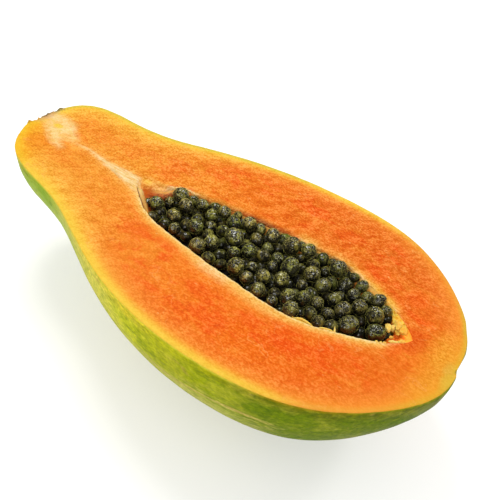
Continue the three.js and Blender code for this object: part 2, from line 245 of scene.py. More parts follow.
def cube_sphere(n):
    """Unit sphere as six square grids with shared edges, and a place for each face in a 3 by 2 sheet."""
    index, pts, quads, uv = {}, [], [], []
    sides = [
        ((1, 0, 0), (0, 1, 0), (0, 0, 1)), ((-1, 0, 0), (0, -1, 0), (0, 0, 1)),
        ((0, 1, 0), (-1, 0, 0), (0, 0, 1)), ((0, -1, 0), (1, 0, 0), (0, 0, 1)),
        ((0, 0, 1), (0, 1, 0), (-1, 0, 0)), ((0, 0, -1), (0, 1, 0), (1, 0, 0)),
    ]
    for s, (w, u, v) in enumerate(sides):
        w, u, v = np.array(w), np.array(u), np.array(v)
        grid = np.zeros((n + 1, n + 1), int)
        for i in range(n + 1):
            for j in range(n + 1):
                a, b = 2 * i / n - 1, 2 * j / n - 1
                key = tuple(np.round(n * w + (2 * i - n) * u + (2 * j - n) * v).astype(int))
                if key not in index:
                    q = w + math.tan(a * math.pi / 4) * u + math.tan(b * math.pi / 4) * v
                    index[key] = len(pts)
                    pts.append(q / np.linalg.norm(q))
                grid[i, j] = index[key]
        ox, oy = (s % 3) / 3, (s // 3) / 2
        for i in range(n):
            for j in range(n):
                quads.append((grid[i, j], grid[i + 1, j], grid[i + 1, j + 1], grid[i, j + 1]))
                for a, b in ((i, j), (i + 1, j), (i + 1, j + 1), (i, j + 1)):
                    uv.append((ox + (0.01 + 0.98 * a / n) / 3, oy + (0.01 + 0.98 * b / n) / 2))
    return np.array(pts), np.array(quads), np.array(uv)


def to_mesh(name, verts, faces, materials, face_material=None, uv=None, attributes=None):
    mesh = bpy.data.meshes.new(name)
    mesh.from_pydata((np.asarray(verts, float) / 1000).tolist(), [], faces)
    mesh.polygons.foreach_set("use_smooth", np.ones(len(mesh.polygons), bool))
    for m in materials:
        mesh.materials.append(m)
    if face_material is not None:
        mesh.polygons.foreach_set("material_index", np.asarray(face_material, np.int32))
    if uv is not None:
        layer = mesh.uv_layers.new(name="OFBake")
        layer.data.foreach_set("uv", np.asarray(uv, np.float32).ravel())
    for key, values in (attributes or {}).items():
        a = mesh.attributes.new(key, "FLOAT", "POINT")
        a.data.foreach_set("value", np.asarray(values, np.float32))
    mesh.update()
    o = bpy.data.objects.new(name, mesh)
    bpy.context.scene.collection.objects.link(o)
    return o


# ---------------------------------------------------------------- node materials
def lin(r, g, b, k=1.0):
    """A display colour, 0 to 255, as the linear colour a shader takes."""
    c = []
    for v in (r, g, b):
        v = v / 255
        c.append(k * (v / 12.92 if v <= 0.04045 else ((v + 0.055) / 1.055) ** 2.4))
    return (*c, 1.0)


class Nodes:
    def __init__(self, name):
        self.mat = bpy.data.materials.new(name)
        self.mat.use_nodes = True
        self.t = self.mat.node_tree
        self.t.nodes.clear()
        self.out = self.t.nodes.new("ShaderNodeOutputMaterial")
        self.bsdf = self.t.nodes.new("ShaderNodeBsdfPrincipled")
        self.t.links.new(self.bsdf.outputs["BSDF"], self.out.inputs["Surface"])
        co = self.t.nodes.new("ShaderNodeTexCoord")
        mm = self.t.nodes.new("ShaderNodeVectorMath")
        mm.operation = "SCALE"
        mm.inputs["Scale"].default_value = 1000.0
        self.t.links.new(co.outputs["Object"], mm.inputs[0])
        self.p = mm.outputs[0]
        sep = self.t.nodes.new("ShaderNodeSeparateXYZ")
        self.t.links.new(self.p, sep.inputs[0])
        self.x, self.y, self.z = sep.outputs

    def put(self, socket, value):
        if isinstance(value, bpy.types.NodeSocket):
            self.t.links.new(value, socket)
        elif value is not None:
            socket.default_value = value

    def math(self, op, a, b=None, c=None, clamp=False):
        n = self.t.nodes.new("ShaderNodeMath")
        n.operation = op
        n.use_clamp = clamp
        for s, v in zip(n.inputs, (a, b, c)):
            self.put(s, v)
        return n.outputs[0]

    def add(self, a, b):
        return self.math("ADD", a, b)

    def mul(self, a, b, *more):
        v = self.math("MULTIPLY", a, b)
        for k in more:
            v = self.math("MULTIPLY", v, k)
        return v

    def sway(self, v, noise, amount):
        """v moved by a noise about its middle."""
        return self.math("MULTIPLY_ADD", noise, amount, self.add(v, -0.5 * amount))

    def step(self, v, lo, hi, a=0.0, b=1.0, kind="SMOOTHSTEP"):
        n = self.t.nodes.new("ShaderNodeMapRange")
        n.interpolation_type = kind
        for s, val in zip(n.inputs, (v, lo, hi, a, b)):
            self.put(s, val)
        return n.outputs[0]

    def vec(self, v, scale=(1, 1, 1), move=(0, 0, 0), turn=(0, 0, 0)):
        n = self.t.nodes.new("ShaderNodeMapping")
        self.put(n.inputs[0], v)
        n.inputs["Location"].default_value = move
        n.inputs["Rotation"].default_value = turn
        n.inputs["Scale"].default_value = scale
        return n.outputs[0]

    def noise(self, v, scale, detail=2.0, rough=0.5, distort=0.0, colour=False):
        n = self.t.nodes.new("ShaderNodeTexNoise")
        self.put(n.inputs["Vector"], v)
        n.inputs["Scale"].default_value = scale
        n.inputs["Detail"].default_value = detail
        n.inputs["Roughness"].default_value = rough
        n.inputs["Distortion"].default_value = distort
        return n.outputs["Color" if colour else "Fac"]

    def voronoi(self, v, scale, feature="F1", random=1.0, out="Distance"):
        n = self.t.nodes.new("ShaderNodeTexVoronoi")
        n.feature = feature
        self.put(n.inputs["Vector"], v)
        n.inputs["Scale"].default_value = scale
        n.inputs["Randomness"].default_value = random
        return n.outputs[out]

    def ramp(self, v, stops, kind="LINEAR"):
        n = self.t.nodes.new("ShaderNodeValToRGB")
        self.put(n.inputs[0], v)
        n.color_ramp.interpolation = kind
        e = n.color_ramp.elements
        while len(e) < len(stops):
            e.new(0.5)
        for el, (pos, col) in zip(e, sorted(stops, key=lambda s: s[0])):
            el.position = pos
            el.color = (col, col, col, 1) if isinstance(col, (int, float)) else col
        return n.outputs["Color"]

    def mix(self, f, a, b, kind="MIX"):
        n = self.t.nodes.new("ShaderNodeMix")
        n.data_type = "RGBA"
        n.blend_type = kind
        n.clamp_factor = True
        self.put(n.inputs[0], f)
        self.put(n.inputs[6], a)
        self.put(n.inputs[7], b)
        return n.outputs[2]

    def attr(self, name):
        n = self.t.nodes.new("ShaderNodeAttribute")
        n.attribute_name = name
        return n.outputs["Fac"]

    def shift(self, v, by, amount):
        """v moved about by a colour noise, up to amount in mm."""
        n = self.t.nodes.new("ShaderNodeVectorMath")
        n.operation = "MULTIPLY_ADD"
        self.put(n.inputs[0], by)
        n.inputs[1].default_value = (2 * amount,) * 3
        a = self.t.nodes.new("ShaderNodeVectorMath")
        a.operation = "ADD"
        self.put(a.inputs[0], v)
        a.inputs[1].default_value = (-amount,) * 3
        self.t.links.new(a.outputs[0], n.inputs[2])
        return n.outputs[0]

    def bump(self, height, distance_mm, strength=1.0, normal=None):
        n = self.t.nodes.new("ShaderNodeBump")
        n.inputs["Strength"].default_value = strength
        n.inputs["Distance"].default_value = distance_mm / 1000
        self.put(n.inputs["Height"], height)
        if normal is not None:
            self.put(n.inputs["Normal"], normal)
        return n.outputs[0]

    def set(self, **values):
        for key, v in values.items():
            self.put(self.bsdf.inputs[key.replace("_", " ")], v)


def F(r, g, b):
    """A colour of the cut face as seen under the studio light, less the sheen on it."""
    return (*[max(k * c - 0.006, 0.001) for k, c in zip((1.04, 1.0, 1.0), lin(r, g, b, 0.655)[:3])], 1.0)


def S(r, g, b):
    """A colour of the skin as seen from the side, where less light falls, less its gloss."""
    return (*[max(c - 0.009, 0.001) for c in lin(r, g, b, 0.74)[:3]], 1.0)


def D(r, g, b):
    """A colour down in the cavity, where it is darker."""
    return (*[max(c - 0.012, 0.0025) for c in lin(r, g, b, 1.08)[:3]], 1.0)


def T(r, g, b):
    """A colour of the torn tissue at the cavity's edge, where it is bright."""
    return (*[max(c - 0.010, 0.0015) for c in lin(r, g, b, 0.70)[:3]], 1.0)


def tip_tint(m, C, wob):
    """Where the strand opens into the cavity: a cream ledge on the near side, a deep orange hollow darkened with
    painted shade, yellow beyond.
    """
    # painted shade: the hollow's orange is darkened where it lies under the flap
    dark = m.mix(m.step(m.x, -42, -37), C(206, 100, 18), C(186, 88, 42))
    pale = m.mix(m.step(m.x, -46, -41), C(255, 198, 72), C(252, 182, 92))
    col = m.mix(m.step(m.sway(m.y, wob, 2.4), 2.4, 7.4), dark, pale)
    above = m.sway(m.add(m.y, m.mul(m.add(m.x, 48.2), 0.74)), wob, 1.6)
    return m.mix(m.step(above, 4.8, 3.4), col, m.mix(m.step(m.x, -46, -38), C(250, 212, 134), C(214, 160, 84)))


def flesh_material():
    m = Nodes("papaya_flesh")
    d_skin, d_cav = m.attr("d_skin"), m.attr("d_cav")
    sd_scar, sd_strand, stem_edge = m.attr("sd_scar"), m.attr("sd_strand"), m.attr("stem_edge")
    low = m.noise(m.p, 0.045, 3, 0.5)
    wob = m.noise(m.vec(m.p, (1, 1, 1), (11, 3, 5)), 0.10, 3, 0.5)
    wob2 = m.noise(m.vec(m.p, (1, 1, 1), (31, 7, 3)), 0.40, 3, 0.6)
    pw = m.shift(m.p, m.noise(m.p, 0.10, 2, 0.5, colour=True), 6.0)

    # along the fruit: the neck is yellower, the body a deeper orange
    along = m.step(m.sway(m.x, low, 50.0), -115, 115, kind="LINEAR")
    col = m.ramp(along, [
        (0.00, F(247, 160, 48)), (0.15, F(247, 157, 48)), (0.24, F(246, 157, 49)), (0.39, F(246, 143, 42)),
        (0.50, F(246, 128, 34)), (0.66, F(246, 116, 28)), (0.80, F(243, 113, 31)), (0.92, F(239, 118, 34)),
        (1.00, F(238, 150, 42)),
    ])
    # the far side of the body reads a little darker and redder
    col = m.mix(m.mul(m.step(m.y, 6, 34), m.step(m.x, -30, 50), 0.75), col, F(232, 112, 34))
    # deep red-orange clouds in the thick of the flesh
    cloud = m.noise(m.vec(pw, (0.55, 1, 1), (2, 40, 8)), 0.075, 4, 0.62)
    thick = m.mul(m.step(d_skin, 6, 15), m.step(d_cav, 1.5, 6), m.step(m.x, -70, -5, 0.25, 1.0))
    col = m.mix(m.mul(m.step(cloud, 0.47, 0.62), thick, 0.75), col, F(246, 92, 18))
    # paler clouds and streaks along the length
    cloud2 = m.noise(m.vec(pw, (0.5, 1, 1), (80, 4, 30)), 0.10, 4, 0.62)
    col = m.mix(m.mul(m.step(cloud2, 0.50, 0.68), 0.42), col, F(253, 156, 52))
    streak = m.noise(m.vec(pw, (0.28, 1, 1), (5, 60, 3)), 0.42, 4, 0.62)
    col = m.mix(m.step(streak, 0.50, 0.68, 0.0, 0.22), col, F(252, 156, 62))
    col = m.mix(m.step(streak, 0.50, 0.34, 0.0, 0.22), col, F(238, 96, 22))

    # rim: a wide yellow band on the neck, a narrow one on the body, with a yellow line at the edge
    neck = m.step(m.sway(m.x, low, 50.0), -5, -45)
    pale = m.step(m.sway(m.sway(d_skin, streak, 4.0), wob, 7.0), 2.0, 15.0, 1.0, 0.0)
    col = m.mix(m.mul(pale, 0.62), col, F(252, 146, 58))
    width = m.step(m.sway(m.x, low, 40.0), -85, 5, 19.0, 8.5)
    dr = m.math("DIVIDE", m.sway(m.sway(d_skin, streak, 1.6), wob, 3.0), width)
    rim = m.ramp(dr, [(0.0, 1.0), (0.22, 0.90), (0.42, 0.56), (0.70, 0.18), (1.0, 0.0)])
    stem_side = m.mul(m.step(m.x, -86, -100), m.step(m.y, 12, 4))
    neck_col = m.mix(stem_side, F(253, 198, 68), F(251, 184, 40))
    col = m.mix(m.mul(rim, m.step(m.x, 78, 40, 0.45, 0.92)), col, m.mix(m.step(m.x, 30, -50), F(251, 174, 56), neck_col))
    edge = m.ramp(m.math("DIVIDE", m.sway(d_skin, wob2, 0.5), m.step(m.x, 50, 90, 5.2, 3.0)), [(0.0, 1.0), (0.25, 0.90), (0.48, 0.58), (0.75, 0.2), (1.0, 0.0)])
    edge_col = m.mix(m.step(m.sway(m.x, low, 30.0), 45, 88), F(248, 210, 72), m.mix(m.step(m.x, 98, 108), F(240, 172, 66), F(214, 190, 62)))
    edge_col = m.mix(stem_side, edge_col, F(245, 196, 48))
    col = m.mix(m.mul(edge, m.step(m.x, 60, 84, 0.95, 0.80)), col, edge_col)
    # deeper orange between the stem scar and the near edge
    bx, by = m.mul(m.add(m.x, 101.6), 0.155), m.mul(m.add(m.y, 6.8), 0.165)
    deeper = m.math("SQRT", m.add(m.mul(bx, bx), m.mul(by, by)))
    col = m.mix(m.step(m.sway(m.sway(deeper, streak, 0.9), wob, 0.9), 0.35, 1.3, 0.66, 0.0), col, F(238, 134, 14))

    line = m.mul(m.step(m.sway(d_skin, wob2, 1.0), 0.8, 3.2, 1.0, 0.0), m.step(m.y, 5, 15), m.step(m.sway(m.x, low, 40.0), 25, -5))
    col = m.mix(m.mul(line, 0.72), col, F(214, 196, 66))

    # pale lining round the cavity, cream at its lip; broad on the near side, and at the blossom end
    dc = m.sway(m.sway(d_cav, wob2, 1.5), wob, 1.5)
    near = m.mul(m.step(m.y, 3, -5), m.step(m.x, -60, -20, 0.5, 1.0))
    far = m.mul(m.step(m.y, 1, 5), m.math("MAXIMUM", m.mul(m.step(m.x, 24, 30), m.step(m.x, 42, 34)), m.step(m.x, 34, 62)), m.step(m.x, 85, 79))
    side = m.math("MAXIMUM", near, far)
    side = m.mul(side, m.step(m.x, 90, 82, 0.45, 1.0))
    reach = m.add(m.mul(m.mul(m.step(m.x, -14, 8), m.step(m.x, 62, 36), m.step(m.y, 5, -5)), 3.0), m.step(m.y, -5, 5, 4.4, 3.0))
    reach = m.add(reach, m.mul(m.step(m.y, 3, 6), m.step(m.x, 22, 30), m.step(m.x, 60, 52), 2.6))
    plain = m.math("SUBTRACT", 1.0, m.math("MAXIMUM", m.mul(m.step(m.y, -1.5, 1.0), m.step(m.x, 83, 88), 0.95), m.step(m.x, 88.5, 91.5, 0.0, 0.85)))
    glow = m.ramp(m.math("DIVIDE", dc, m.add(reach, 3.6)), [(0.0, 1.0), (0.3, 0.72), (0.65, 0.28), (1.0, 0.0)])
    col = m.mix(m.mul(glow, m.step(side, 0, 1, 0.35, 0.85, kind="LINEAR"), plain), col, F(252, 172, 66))
    lining = m.ramp(m.math("DIVIDE", dc, reach), [(0.0, 1.0), (0.35, 0.80), (0.7, 0.28), (1.0, 0.0)])
    col = m.mix(m.mul(lining, m.step(side, 0, 1, 0.12, 0.92, kind="LINEAR"), plain), col, m.mix(m.mul(m.step(m.x, 0, 8), m.step(m.x, 22, 16), m.step(m.y, 0, -5)), F(250, 198, 96), F(252, 214, 136)))
    lip = m.step(m.sway(d_cav, wob2, 0.9), 0.3, 1.9, 1.0, 0.0)
    col = m.mix(m.mul(lip, m.step(side, 0, 1, 0.10, 0.95, kind="LINEAR"), plain), col, m.mix(m.step(m.y, 2, 6), F(252, 222, 140), F(240, 190, 110)))
    yellow = m.mul(m.step(m.sway(dc, wob, 2.0), 0.8, 4.0, 1.0, 0.0), m.mul(m.step(m.x, 62, 72), m.step(m.sway(m.x, wob, 4.0), 84, 78)), m.step(m.y, -6, 2))
    col = m.mix(m.mul(yellow, 0.7), col, F(252, 188, 58))
    red = m.mul(m.step(m.sway(d_cav, wob2, 2.0), 0.3, 3.5, 1.0, 0.0), m.step(m.noise(m.p, 0.14, 2, 0.5), 0.50, 0.62), m.mul(m.step(m.y, 5, 10), m.step(m.x, 40, 20)))
    col = m.mix(m.mul(red, 0.8), col, F(234, 84, 30))
    # painted shade: the far lip is darker and browner where the seeds shade it
    shade = m.mul(m.step(m.sway(d_cav, wob2, 1.2), 1.2, 4.6, 1.0, 0.0), m.step(m.y, 4, 8), m.mul(m.step(m.x, -27, -21), m.step(m.sway(m.x, wob, 6.0), 28, 23)))
    shaded_lip_col = m.mix(m.step(m.x, -8, 2), F(184, 118, 40), m.mix(m.mul(m.step(m.x, 2, 8), m.step(m.x, 20, 13)), F(168, 84, 32), F(118, 48, 20)))
    col = m.mix(m.mul(shade, 0.86), col, m.mix(m.step(d_cav, 0.4, 3.0), shaded_lip_col, m.mix(m.step(m.x, -6, 4), F(218, 138, 42), F(206, 102, 34))))
    # painted shade from the seeds: darker just at the lip further along
    rim_shade = m.mul(m.step(m.sway(d_cav, wob2, 0.8), 0.5, 1.7, 1.0, 0.0), m.step(m.y, 3, 6), m.mul(m.step(m.x, 33, 38), m.step(m.x, 58, 54)))
    col = m.mix(m.mul(rim_shade, 0.7), col, m.mix(m.step(m.x, 44, 48), F(176, 108, 36), F(136, 86, 34)))

    # where the strand opens into the cavity: a yellow flap over an orange hollow, darkened with painted shade
    sd_pocket = m.attr("sd_pocket")
    hollow = m.step(m.sway(sd_pocket, wob2, 1.0), -0.2, -1.4, 0.0, 1.0)
    col = m.mix(hollow, col, tip_tint(m, F, wob2))
    flap = m.mul(m.step(m.math("ABSOLUTE", m.add(m.sway(sd_pocket, wob2, 0.8), 0.2)), 0.3, 1.3, 1.0, 0.0), m.step(m.y, 3, 6))
    col = m.mix(m.mul(flap, 0.6), col, m.mix(m.step(m.x, -38, -33), F(253, 186, 84), F(255, 214, 150)))
    arc = m.mul(m.step(m.sway(d_cav, wob2, 0.3), 0.7, 1.7, 1.0, 0.0), m.step(m.y, 6, 9), m.mul(m.step(m.x, -38, -34), m.step(m.x, -21, -25)))
    col = m.mix(m.mul(arc, 0.9), col, F(255, 216, 138))

    # deeper orange round the blossom end of the cavity
    bx, by = m.mul(m.add(m.x, -93.2), 0.11), m.mul(m.add(m.y, -0.5), 0.11)
    deeper = m.math("SQRT", m.add(m.mul(bx, bx), m.mul(by, by)))
    col = m.mix(m.step(m.sway(m.sway(deeper, streak, 0.8), wob, 0.8), 0.35, 1.3, 0.82, 0.0), col, F(230, 92, 12))

    # blossom end: yellow, with a green tinge and a dull pink patch by the point
    end = m.mul(m.step(m.sway(m.x, wob, 10.0), 92, 112), m.step(m.sway(m.y, wob, 8.0), 22, 0))
    col = m.mix(m.mul(end, 0.62), col, F(241, 172, 48))
    bx, by = m.add(m.x, -112.6), m.add(m.y, 8.5)
    green = m.math("SQRT", m.add(m.mul(m.mul(bx, bx), 4.5), m.mul(by, m.mul(by, 0.5))))
    col = m.mix(m.step(m.sway(green, wob2, 3.0), 2.5, 8.5, 0.55, 0.0), col, F(222, 196, 70))
    bx, by = m.add(m.x, -110.6), m.add(m.y, 4.0)
    dull = m.math("SQRT", m.add(m.mul(m.mul(bx, bx), 2.6), m.mul(by, m.mul(by, 0.7))))
    col = m.mix(m.step(m.sway(m.sway(dull, wob2, 3.4), wob, 3.0), 0.8, 4.6, 0.6, 0.0), col, F(230, 174, 66))
    bx, by = m.add(m.x, -114.0), m.add(m.y, 3.4)
    nub = m.math("SQRT", m.add(m.mul(m.mul(bx, bx), 1.4), m.mul(by, m.mul(by, 0.45))))
    col = m.mix(m.step(m.sway(nub, wob2, 0.8), 0.5, 1.3, 0.85, 0.0), col, F(146, 134, 52))

    # cream tissue behind the stem scar, and the strand from it to the cavity
    fibre = m.noise(m.vec(m.p, (0.16, 1.7, 1.0), (3, 9, 2), (0, 0, 0.12)), 0.8, 3, 0.6)
    blot = m.noise(m.vec(m.p, (1, 1, 1), (7, 1, 8)), 0.20, 3, 0.55)
    k1 = m.step(m.sway(m.sway(sd_scar, blot, 6.0), wob2, 2.0), -3.2, 2.2, 1.0, 0.0)
    k1 = m.mul(k1, m.step(blot, 0.30, 0.55, 0.70, 1.0))
    cream = m.mix(m.add(m.mul(fibre, 0.35), m.step(blot, 0.36, 0.62, 0.0, 0.65)), F(248, 196, 102), F(254, 224, 152))
    cream = m.mix(m.step(m.noise(m.vec(m.p, (1, 1, 1), (2, 2, 2)), 0.35, 2, 0.5), 0.50, 0.62, 0.0, 0.6), cream, F(243, 208, 116))
    col = m.mix(k1, col, cream)
    yolk = m.math("SQRT", m.add(m.mul(m.add(m.x, 104.0), m.add(m.x, 104.0), 0.6), m.mul(m.add(m.y, -10.0), m.add(m.y, -10.0))))
    col = m.mix(m.step(m.sway(yolk, wob2, 2.4), 0.8, 2.8, 0.75, 0.0), col, F(244, 204, 44))
    halo = m.step(m.sway(sd_strand, wob, 3.0), -0.5, 4.5, 0.60, 0.0)
    col = m.mix(halo, col, F(253, 180, 78))
    k2 = m.step(m.sway(m.sway(sd_strand, wob2, 2.0), fibre, 1.6), -1.8, 0.9, 1.0, 0.0)
    col = m.mix(m.mul(k2, m.step(m.x, -88, -72, 0.75, 1.0)), col, m.mix(m.step(fibre, 0.34, 0.66), F(243, 192, 104), F(254, 230, 168)))
    thin = m.mul(m.step(fibre, 0.34, 0.27), m.step(sd_strand, -0.4, -1.2), m.step(m.x, -70, -64))
    col = m.mix(m.mul(thin, 0.7), col, F(176, 124, 66))

    # redder spots in the flesh
    for cx, cy, rx, ry, k in ((14, -35, 7, 4, 0.6), (38, -35, 7, 4, 0.6), (54, -36, 9, 4.5, 0.7), (70, -28, 6, 5, 0.55),
                              (89, -8, 4, 6, 0.5), (87, 23, 5, 6, 0.5), (45, 40, 8, 4, 0.45), (-42, 27, 7, 4, 0.4)):
        sx, sy = m.mul(m.add(m.x, -cx), 1 / rx), m.mul(m.add(m.y, -cy), 1 / ry)
        spot = m.step(m.sway(m.math("SQRT", m.add(m.mul(sx, sx), m.mul(sy, sy))), cloud, 2.2), 0.4, 1.3, k, 0.0)
        col = m.mix(spot, col, F(246, 92, 18))

    # fine veins, and the cut ends of fibres
    vein_at = m.noise(m.vec(pw, (0.7, 1, 1), (4, 90, 1)), 0.085, 2, 0.5)
    vein = m.step(m.math("ABSOLUTE", m.add(vein_at, -0.5)), 0.002, 0.011, 1.0, 0.0)
    col = m.mix(m.mul(vein, m.step(m.noise(m.p, 0.05, 1, 0.5), 0.46, 0.60), 0.3), col, F(255, 176, 92))
    fleck = m.voronoi(m.vec(pw, (0.55, 1.0, 1.0), (3, 3, 3)), 0.19)
    keep = m.step(m.noise(m.p, 0.09, 2, 0.5), 0.50, 0.60)
    col = m.mix(m.mul(m.step(fleck, 0.05, 0.11, 1.0, 0.0), keep, 0.42), col, F(255, 190, 108))

    # grain of the flesh: ripples across the cut, wandering strokes, fine grit
    gw = m.shift(m.p, m.noise(m.p, 0.7, 2, 0.5, colour=True), 0.9)
    ripple = m.noise(m.vec(m.vec(gw, turn=(0, 0, math.radians(-45))), (0.42, 1.0, 1.0)), 0.40, 3, 0.62)
    worm = m.noise(m.vec(gw, (0.6, 1.1, 1.0)), 0.66, 2, 0.55)
    grit = m.noise(m.vec(m.p, (0.85, 1.05, 1.0), (5, 3, 9)), 1.25, 1, 0.5)
    rough = m.math("MAXIMUM", m.step(m.x, 25, -30), m.step(m.y, -5, 20))
    rough = m.mul(rough, m.step(m.x, 100, 60, 0.5, 1.0))
    gain = m.mul(m.step(m.y, -22, 10, 0.62, 1.30), m.step(m.x, 55, 85, 1.0, 0.82), m.step(m.x, -70, -30, 0.90, 1.0))
    gain = m.math("MAXIMUM", gain, m.mul(m.step(m.x, -10, -35), 0.98))
    g1 = m.add(m.mul(m.step(worm, 0.34, 0.66, kind="LINEAR"), 0.52), m.mul(m.step(grit, 0.38, 0.62, kind="LINEAR"), 0.48))
    g2 = m.add(m.mul(m.step(ripple, 0.30, 0.70, kind="LINEAR"), 0.72), m.mul(m.step(grit, 0.38, 0.62, kind="LINEAR"), 0.28))
    g = m.add(m.mul(g1, m.step(rough, 0, 1, 1.0, 0.35)), m.mul(g2, m.step(rough, 0, 1, 0.0, 0.65)))
    calm = m.step(m.math("MAXIMUM", k2, m.mul(k1, 0.9)), 0, 1, 1.0, 0.38)
    calm = m.mul(calm, m.step(m.sway(d_skin, wob, 2.0), 0.0, 8.0, 0.30, 1.0), m.step(m.x, 84, 100, 1.0, 0.7))
    grain = m.mix(m.math("MULTIPLY_ADD", m.add(g, -0.5), m.mul(gain, 1.42), 0.5), (0.80, 0.63, 0.26, 1), (1.17, 1.40, 2.1, 1))
    col = m.mix(calm, col, m.mix(1.0, col, grain, "MULTIPLY"))
    col = m.mix(m.mul(calm, gain, m.mul(m.step(g, 0.50, 0.86, 0.0, 0.26, kind="LINEAR"), m.mul(m.step(m.x, -95, -65, 0.55, 1.0), m.step(m.x, 84, 92, 1.0, 0.6)))), col, F(255, 186, 108))

    # brown where the stalk broke away
    fray = m.noise(m.p, 0.9, 3, 0.65)
    tan = m.mul(m.step(m.sway(stem_edge, fray, 3.0), 1.2, 4.0, 1.0, 0.0), m.step(m.y, 3, 8), m.step(m.y, 21, 15))
    col = m.mix(m.mul(tan, 0.7), col, F(216, 166, 112))
    brown = m.step(m.sway(stem_edge, fray, 1.8), 0.35, 1.5, 1.0, 0.0)
    col = m.mix(m.mul(brown, 0.85), col, m.mix(m.step(m.noise(m.p, 1.2, 2, 0.6), 0.38, 0.62), F(98, 88, 60), F(172, 152, 108)))

    h = m.add(m.add(m.mul(worm, 0.6), m.mul(ripple, 0.6)), m.mul(grit, 0.45))
    m.set(Base_Color=col, Roughness=m.step(g, 0.2, 0.8, 0.36, 0.52), Normal=m.bump(h, 0.30, 0.55))
    b = m.bsdf.inputs
    b["Subsurface Weight"].default_value = 0.16
    b["Subsurface Radius"].default_value = (1.0, 0.40, 0.12)
    b["Subsurface Scale"].default_value = 0.0011
    b["Specular IOR Level"].default_value = 0.08
    b["IOR"].default_value = 1.38
    return m.mat


def skin_material():
    m = Nodes("papaya_skin")
    below = m.mul(m.attr("d_skin"), -1.0)        # how far down the side from the cut
    low = m.noise(m.p, 0.030, 3, 0.5)
    pw = m.shift(m.p, m.noise(m.p, 0.05, 2, 0.5, colour=True), 9.0)
    blotch = m.noise(m.vec(pw, (0.6, 1, 1)), 0.085, 4, 0.62)
    blotch2 = m.noise(m.vec(pw, (0.6, 1, 1), (40, 2, 6)), 0.16, 4, 0.62)
    streak = m.noise(m.vec(m.p, (0.10, 1, 1), (4, 4, 4)), 0.36, 4, 0.62)
    fine = m.noise(m.vec(m.p, (0.6, 1, 1)), 0.85, 3, 0.65)
    speck = m.noise(m.vec(m.p, (0.8, 1, 1), (3, 30, 3)), 0.42, 3, 0.62)

    # greens and yellows along the fruit: just under the cut, and lower down
    along = m.step(m.sway(m.x, low, 16.0), -115, 115, kind="LINEAR")
    top = m.ramp(along, [
        (0.00, S(186, 190, 60)), (0.10, S(176, 184, 60)), (0.16, S(148, 183, 46)), (0.24, S(192, 197, 76)),
        (0.33, S(234, 218, 92)), (0.42, S(232, 216, 72)), (0.50, S(230, 208, 50)), (0.59, S(198, 196, 38)),
        (0.67, S(166, 168, 26)), (0.76, S(120, 126, 24)), (0.87, S(114, 117, 24)), (1.0, S(112, 122, 20)),
    ])
    low_down = m.ramp(along, [
        (0.00, S(188, 200, 84)), (0.10, S(168, 194, 74)), (0.16, S(154, 187, 62)), (0.26, S(194, 204, 92)),
        (0.38, S(222, 214, 84)), (0.50, S(204, 206, 44)), (0.59, S(172, 177, 30)), (0.68, S(154, 167, 28)),
        (0.76, S(116, 136, 28)), (0.87, S(114, 133, 28)), (1.0, S(102, 118, 20)),
    ])
    col = m.mix(m.step(m.sway(m.sway(below, blotch2, 6.0), fine, 3.0), 2.5, 8.5), top, low_down)
    col = m.mix(m.mul(m.step(blotch, 0.50, 0.66), m.step(m.x, -60, 10, 0.15, 0.42)), col, S(104, 136, 16))
    col = m.mix(m.mul(m.step(blotch, 0.48, 0.32), m.step(m.x, 90, -60, 0.2, 0.5)), col, S(222, 208, 72))
    # a long tan scuff where it lay, and paler skin below it
    off = m.math("ABSOLUTE", m.add(m.sway(m.sway(below, blotch2, 4.0), streak, 3.0), m.step(m.x, 10, 60, -24.5, -19.0)))
    line = m.mul(m.step(off, 0.4, 1.7, 1.0, 0.0), m.step(m.sway(m.x, streak, 20.0), 4, 16), m.mul(m.step(m.sway(m.x, streak, 20.0), 70, 56), m.step(m.y, 0, -5)))
    col = m.mix(m.mul(m.step(below, 18, 27), m.step(m.x, -50, 0, 0.3, 0.6), m.mul(m.step(m.x, 70, 45), m.step(m.y, 5, -10))), col, S(202, 202, 96))
    col = m.mix(m.mul(line, 0.8), col, S(202, 184, 96))
    col = m.mix(m.step(streak, 0.53, 0.68, 0.0, 0.30), col, S(176, 176, 58))
    col = m.mix(m.step(streak, 0.46, 0.32, 0.0, 0.32), col, S(78, 106, 16))
    # long pale scuffs lower down the side
    scuff = m.noise(m.vec(m.p, (0.035, 1, 1), (9, 70, 4)), 0.55, 3, 0.55)
    scuff = m.mul(m.step(scuff, 0.53, 0.62), m.step(below, 14, 22), m.step(m.x, 85, 60), m.step(m.x, -20, 15))
    col = m.mix(m.mul(scuff, 0.62), col, S(202, 192, 98))

    # the side that faced the sun has ripened to yellow and orange
    ripe = m.step(m.sway(m.sway(m.add(m.y, m.mul(m.x, 0.12)), low, 90.0), blotch2, 50.0), -8, 60)
    ripe_col = m.mix(m.step(blotch2, 0.38, 0.60), S(200, 178, 50), S(220, 150, 44))
    ripe_col = m.mix(m.step(blotch, 0.52, 0.66, 0.0, 0.85), ripe_col, S(134, 144, 34))
    ripe = m.mul(ripe, m.step(m.y, -38, -12))
    col = m.mix(m.mul(ripe, 0.88), col, ripe_col)

    # dark green freckles, thick in places
    cell = m.shift(m.p, m.noise(m.p, 0.5, 2, 0.5, colour=True), 0.8)
    spots = m.voronoi(cell, 0.20)
    size = m.step(m.noise(m.vec(m.p, (1, 1, 1), (70, 1, 1)), 0.22, 2, 0.5), 0.34, 0.66, 0.06, 0.34)
    dense = m.step(m.noise(m.vec(m.p, (1, 1, 1), (9, 9, 40)), 0.032, 2, 0.5), 0.40, 0.58)
    spot = m.step(m.math("SUBTRACT", size, spots), -0.04, 0.10)
    small = m.step(m.voronoi(m.vec(cell, (1, 1, 1), (6, 8, 2)), 0.42), 0.08, 0.20, 1.0, 0.0)
    spot = m.math("MAXIMUM", m.mul(spot, dense), m.mul(small, 0.55))
    col = m.mix(m.mul(spot, m.add(m.mul(ripe, 0.62), 0.22)), col, S(58, 84, 16))
